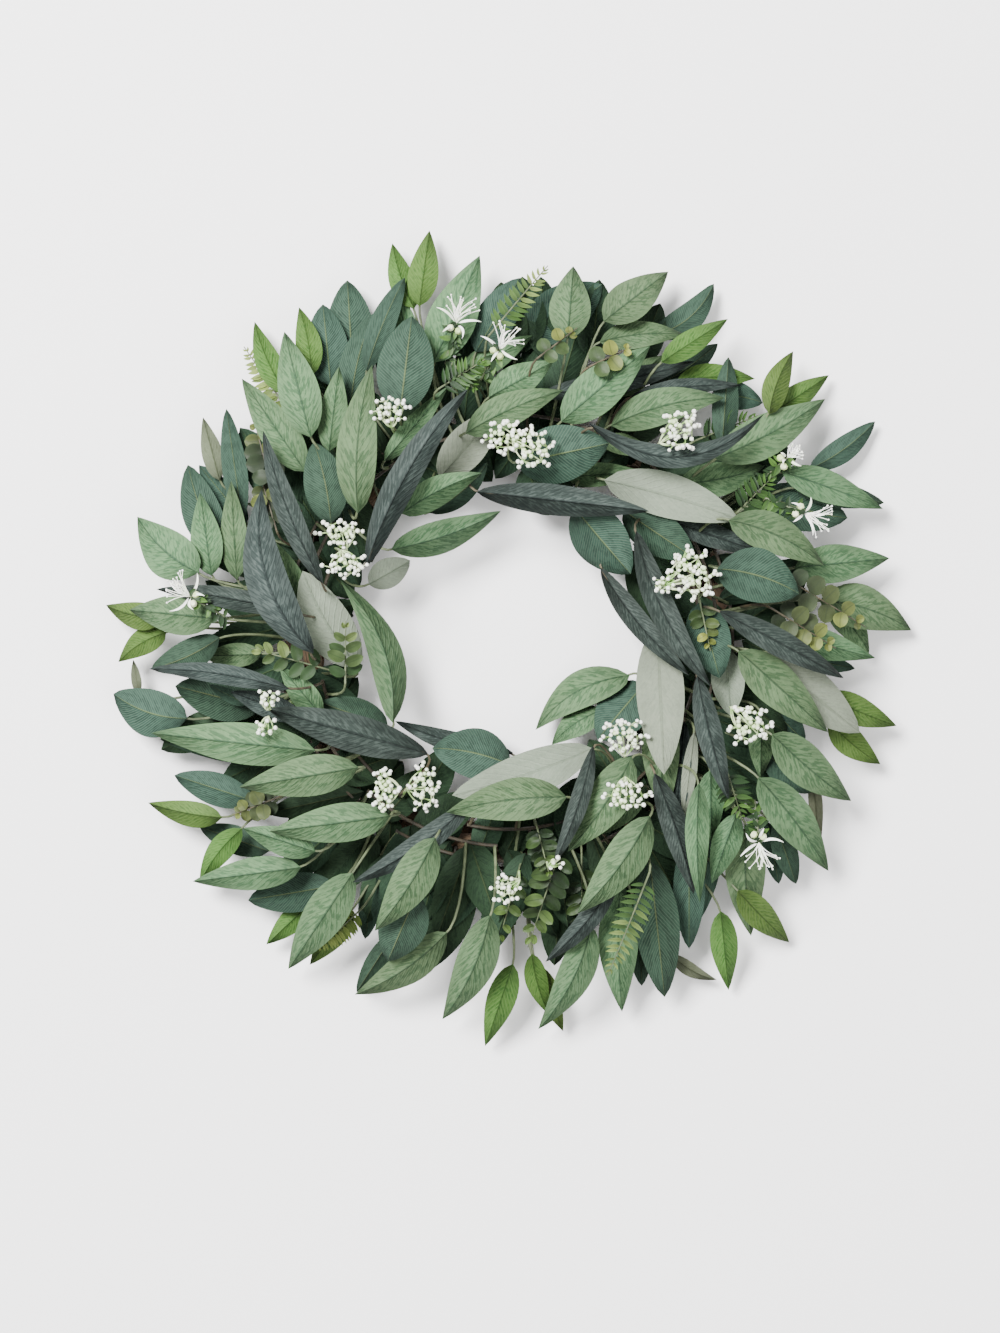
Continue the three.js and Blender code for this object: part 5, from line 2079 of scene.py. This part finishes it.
    def foliage(self, flower: Flower, heart: Vector, back: Vector, draw: random.Random) -> list[Piece]:
        """Makes the small leaves on a bloom's stem.

        Args:
            flower: The bloom.
            heart: Where they start.
            back: Where they end.
            draw: The seeded draw.

        Returns:
            The leaves.
        """
        leaves = []
        for number in range(self.sprouts):
            share = number / self.sprouts
            height = self.sprout_rise - self.sprout_fall * share + draw.uniform(*self.sprout_scatter)
            turn = flower.fan + math.pi + draw.uniform(-self.sprout_turn, self.sprout_turn)
            reach = draw.uniform(*self.sprout_reach)
            leaves.append(self.sprout(heart.lerp(back, share) + upward(height), turn, reach, draw.random()))
        return leaves

    def build(self) -> None:
        """Makes the blooms of the node."""
        draw = random.Random(self.node)
        knob, bud = ball_master(self.knob), ball_master(self.bud)
        threads, stems = Stems("petal_white"), Stems("stem_green")
        parts = []
        for index, (flower, top) in enumerate(zip(self.flowers, self.tops)):
            heart = Vector((flower.x, flower.y, top))
            back = self.stem(flower, heart, stems)
            parts += self.petals(index, heart, draw)
            parts += self.fan(flower, heart, knob, threads, draw)
            parts += self.young(flower, heart, bud, draw)
            parts += self.foliage(flower, heart, back, draw)
        bpy.data.objects.remove(knob)
        bpy.data.objects.remove(bud)
        parts += [threads.build(f"{self.node}_threads"), stems.build(f"{self.node}_stem")]
        settle_piece(joined(parts, f"{self.node}_petals"), "bloom", self.node)


class Lamp(NamedTuple):
    """A square soft lamp: its name, its place, its side in metres and its power."""

    name: str
    place: Vector
    size: float
    power: float


LAMPS = (
    Lamp("key", Vector((-1.9, 1.7, 3.6)), 1.7, 700.0),
    Lamp("fill", Vector((2.4, -1.6, 3.2)), 3.0, 110.0),
)


@dataclass
class Studio:
    """The floor, the lights and the camera, which looks straight down on the wreath.

    The camera sees a width at the height of a plane through the foliage, in millimetres as its distance is.
    """

    floor_size: float = 60.0
    floor_drop: float = 0.0005
    sky: float = 0.9
    middle: Pair = (-6.75, -21.4)
    seen: float = 990.0
    plane: float = 50.0
    distance: float = 2300.0
    sensor: float = 36.0
    far: float = 50.0

    def floor(self) -> None:
        """Lays the floor."""
        pick_only()
        bpy.ops.mesh.primitive_plane_add(size=self.floor_size, location=(0.0, 0.0, -self.floor_drop))
        ground = bpy.context.active_object
        ground.name = "floor"
        ground.data.materials.append(PALETTE.get("pale_floor"))

    def hang(self, lamp: Lamp) -> None:
        """Hangs a lamp that points at the wreath.

        Args:
            lamp: The lamp.
        """
        light = bpy.data.lights.new(lamp.name, "AREA")
        light.size = lamp.size
        light.energy = lamp.power
        hung = bpy.data.objects.new(lamp.name, light)
        hung.location = lamp.place
        hung.rotation_euler = (-lamp.place).to_track_quat("-Z", "Y").to_euler()
        bpy.context.collection.objects.link(hung)

    def build(self) -> None:
        """Sets up the studio."""
        self.floor()
        for lamp in LAMPS:
            self.hang(lamp)
        world = bpy.data.worlds.new("studio")
        world.use_nodes = True
        world.node_tree.nodes["Background"].inputs[0].default_value = (1.0, 1.0, 1.0, 1.0)
        world.node_tree.nodes["Background"].inputs[1].default_value = self.sky
        bpy.context.scene.world = world
        camera = bpy.data.objects.new("camera", bpy.data.cameras.new("camera"))
        camera.data.sensor_width = self.sensor
        camera.data.lens = self.sensor * (self.distance - self.plane) / self.seen
        camera.data.clip_end = self.far
        camera.location = (self.middle[0] * MM, self.middle[1] * MM, self.distance * MM)
        bpy.context.collection.objects.link(camera)
        bpy.context.scene.camera = camera


def sprays() -> list[Spray]:
    """Lists the five kinds of large leaf.

    Returns:
        The kinds, in the order in which they are made.
    """
    return [
        Spray("sage", Form.SAGE.value, SAGE_ROWS, UNDER_SAGE, (155.0, 47.0), 8, 0.0, seed=21),
        Spray("dark", Form.DARK.value, DARK_ROWS, UNDER_DARK, (167.0, 36.0), 8, 0.2, seed=22),
        Spray("willow", Form.WILLOW.value, WILLOW_ROWS, UNDER_WILLOW, (143.0, 38.0), 6, 0.1, "stem_brown",
              seed=23),
        Spray("pale", Form.PALE.value, PALE_ROWS, UNDER_PALE, (137.0, 27.0), 5, 0.4, seed=24),
        Spray("bright", Form.BRIGHT.value, BRIGHT_ROWS, (), (173.0, 23.0), 7, 0.25, "stem_green",
              "dull", DULL_ROWS, UNDER_DULL, seed=25),
    ]


def fronds() -> list[Frond]:
    """Lists the ferns, sprigs and tufts.

    Returns:
        The fronds, with a row for each stem.
    """
    fern, disc = Form.FERN.value, Form.ROUND.value
    return [
        Frond("fern_top", "frond_fern", "fern_light", fern, 13, 0.3, 0.07, ((-15, 222, 29, 278, 24, 0, 5),)),
        Frond("fern_left", "frond_fern", "fern_lit", fern, 15, 0.4, 0.05,
              ((-164, 168, -200, 220, 22, 0, 1),)),
        Frond("fern_foot", "frond_grey", "fern_grey", fern, 15, 0.27, 0.05,
              ((103, -172, 73, -251, 26, 0, 5),),
              extra=((-110, -202, -144, -234, 24, 0, 2),), extra_finish="fern_lit"),
        Frond("olive_left", "frond_olive", "olive", disc, 5, 0.95, 0.06,
              ((-176, 112, -190, 162, 30, 0, 3),), "stem_brown", tilt=6.0,
              extra=((-172, 78, -186, 124, 26, 0, 3), (-170, -118, -206, -132, 24, 0, 3))),
        Frond("olive_right", "frond_olive", "olive", disc, 5, 0.95, 0.06,
              ((200, 46, 266, 8, 30, 0, 4), (192, 22, 242, -8, 28, 0, 4)), "stem_brown", tilt=6.0),
        Frond("box_left", "frond_box", "box_pale", disc, 5, 0.6, 0.12,
              ((-132, -24, -190, -8, 26, 0, 4), (-120, -34, -120, 12, 26, 0, 6)), tilt=5.0),
        Frond("box_foot", "frond_deep", "box_deep", disc, 7, 0.62, 0.08,
              ((40, -150, 14, -230, 30, 0, 3), (54, -160, 54, -238, 24, 0, 2)), tilt=6.0,
              extra=((8, -170, -8, -228, 22, 0, 2), (20, -138, 30, -176, 24, 0, 4))),
        Frond("box_top", "frond_box", "box_mid", disc, 3, 0.95, 0.08,
              ((58, 198, 90, 214, 26, 0, 5),), "stem_brown", tilt=5.0,
              extra=((20, 204, 50, 228, 22, 0, 5),)),
        Frond("box_inner", "frond_inner", "box_mid", disc, 4, 0.7, 0.08,
              ((140, 28, 148, -10, 22, 0, 4),), tilt=5.0),
        Frond("tuft_low", "frond_tuft", "tuft", fern, 9, 0.3, 0.14,
              ((160, -98, 172, -134, 28, 0, 4),), tilt=6.0),
        Frond("tuft_high", "frond_tuft", "tuft", fern, 11, 0.24, 0.14,
              ((168, 92, 196, 120, 28, 0, 4),), tilt=6.0,
              extra=((-52, 182, -18, 204, 24, 0, 5), (-40, 200, -24, 180, 22, 0, 5),
                     (138, 146, 186, 166, 26, 0, 3))),
    ]


def bunches() -> list[BerryBunch]:
    """Lists the bunches of berries.

    Returns:
        The bunches, with the heads that hang together.
    """
    return [
        BerryBunch("berries_upper_left", (Head(-87, 166, 16, 11),)),
        BerryBunch("berries_left", (Head(-123, 77, 18, 11), Head(-119, 52, 18, 10))),
        BerryBunch("berries_top", (Head(-4, 147, 16, 14), Head(18, 137, 16, 18))),
        BerryBunch("berries_upper_right", (Head(124, 151, 15, 17),)),
        BerryBunch("berries_right", (Head(134, 46, 20, 22), Head(112, 38, 9, 7))),
        BerryBunch("berries_lower_right", (Head(177, -64, 17, 16),)),
        BerryBunch("berries_inner_right", (Head(84, -72, 18, 14), Head(86, -116, 18, 12))),
        BerryBunch("berries_foot", (Head(-3, -185, 11, 12), Head(34, -164, 6, 5))),
        BerryBunch("berries_lower_left", (Head(-92, -112, 11, 20), Head(-62, -110, 12, 20))),
        BerryBunch("berries_far_left", (Head(-175, -44, 9, 8), Head(-178, -66, 9, 7))),
    ]


def blooms() -> list[Bloom]:
    """Lists the blooms.

    Returns:
        The nodes of blooms.
    """
    return [
        Bloom("bloom_top", (Flower(-39, 233, 21, 5, 1.3), Flower(-7, 212, 19, 4, 1.0))),
        Bloom("bloom_left", (Flower(-234, 30, 19, 5, 2.6),)),
        Bloom("bloom_right", (Flower(217, 91, 20, 5, -0.4), Flower(206, 133, 12, 4, 0.7))),
        Bloom("bloom_lower_right", (Flower(184, -151, 20, 5, -1.5),)),
    ]


def main() -> None:
    """Builds the wreath and the studio round it, piece by piece."""
    logging.basicConfig(level=logging.INFO, format="%(message)s")
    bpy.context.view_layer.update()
    kinds, stems, heads, flowers = sprays(), fronds(), bunches(), blooms()
    heap = Heap()
    shown = [leaf for kind in kinds for leaf in kind.leaves]
    heap.lay(shown + [stem for frond in stems for stem in frond.stems])
    for group in (*heads, *flowers):
        group.find_tops(heap)
    hidden = [leaf for kind in kinds for leaf in kind.hidden]
    heap.tuck(hidden + [stem for frond in stems for stem in frond.more])
    VineRing().build()
    Undergrowth().build()
    for piece in (*kinds, *stems, *heads, *flowers):
        piece.build()
    BLADES.clear()
    Studio().build()


if __name__ == "__main__":
    main()
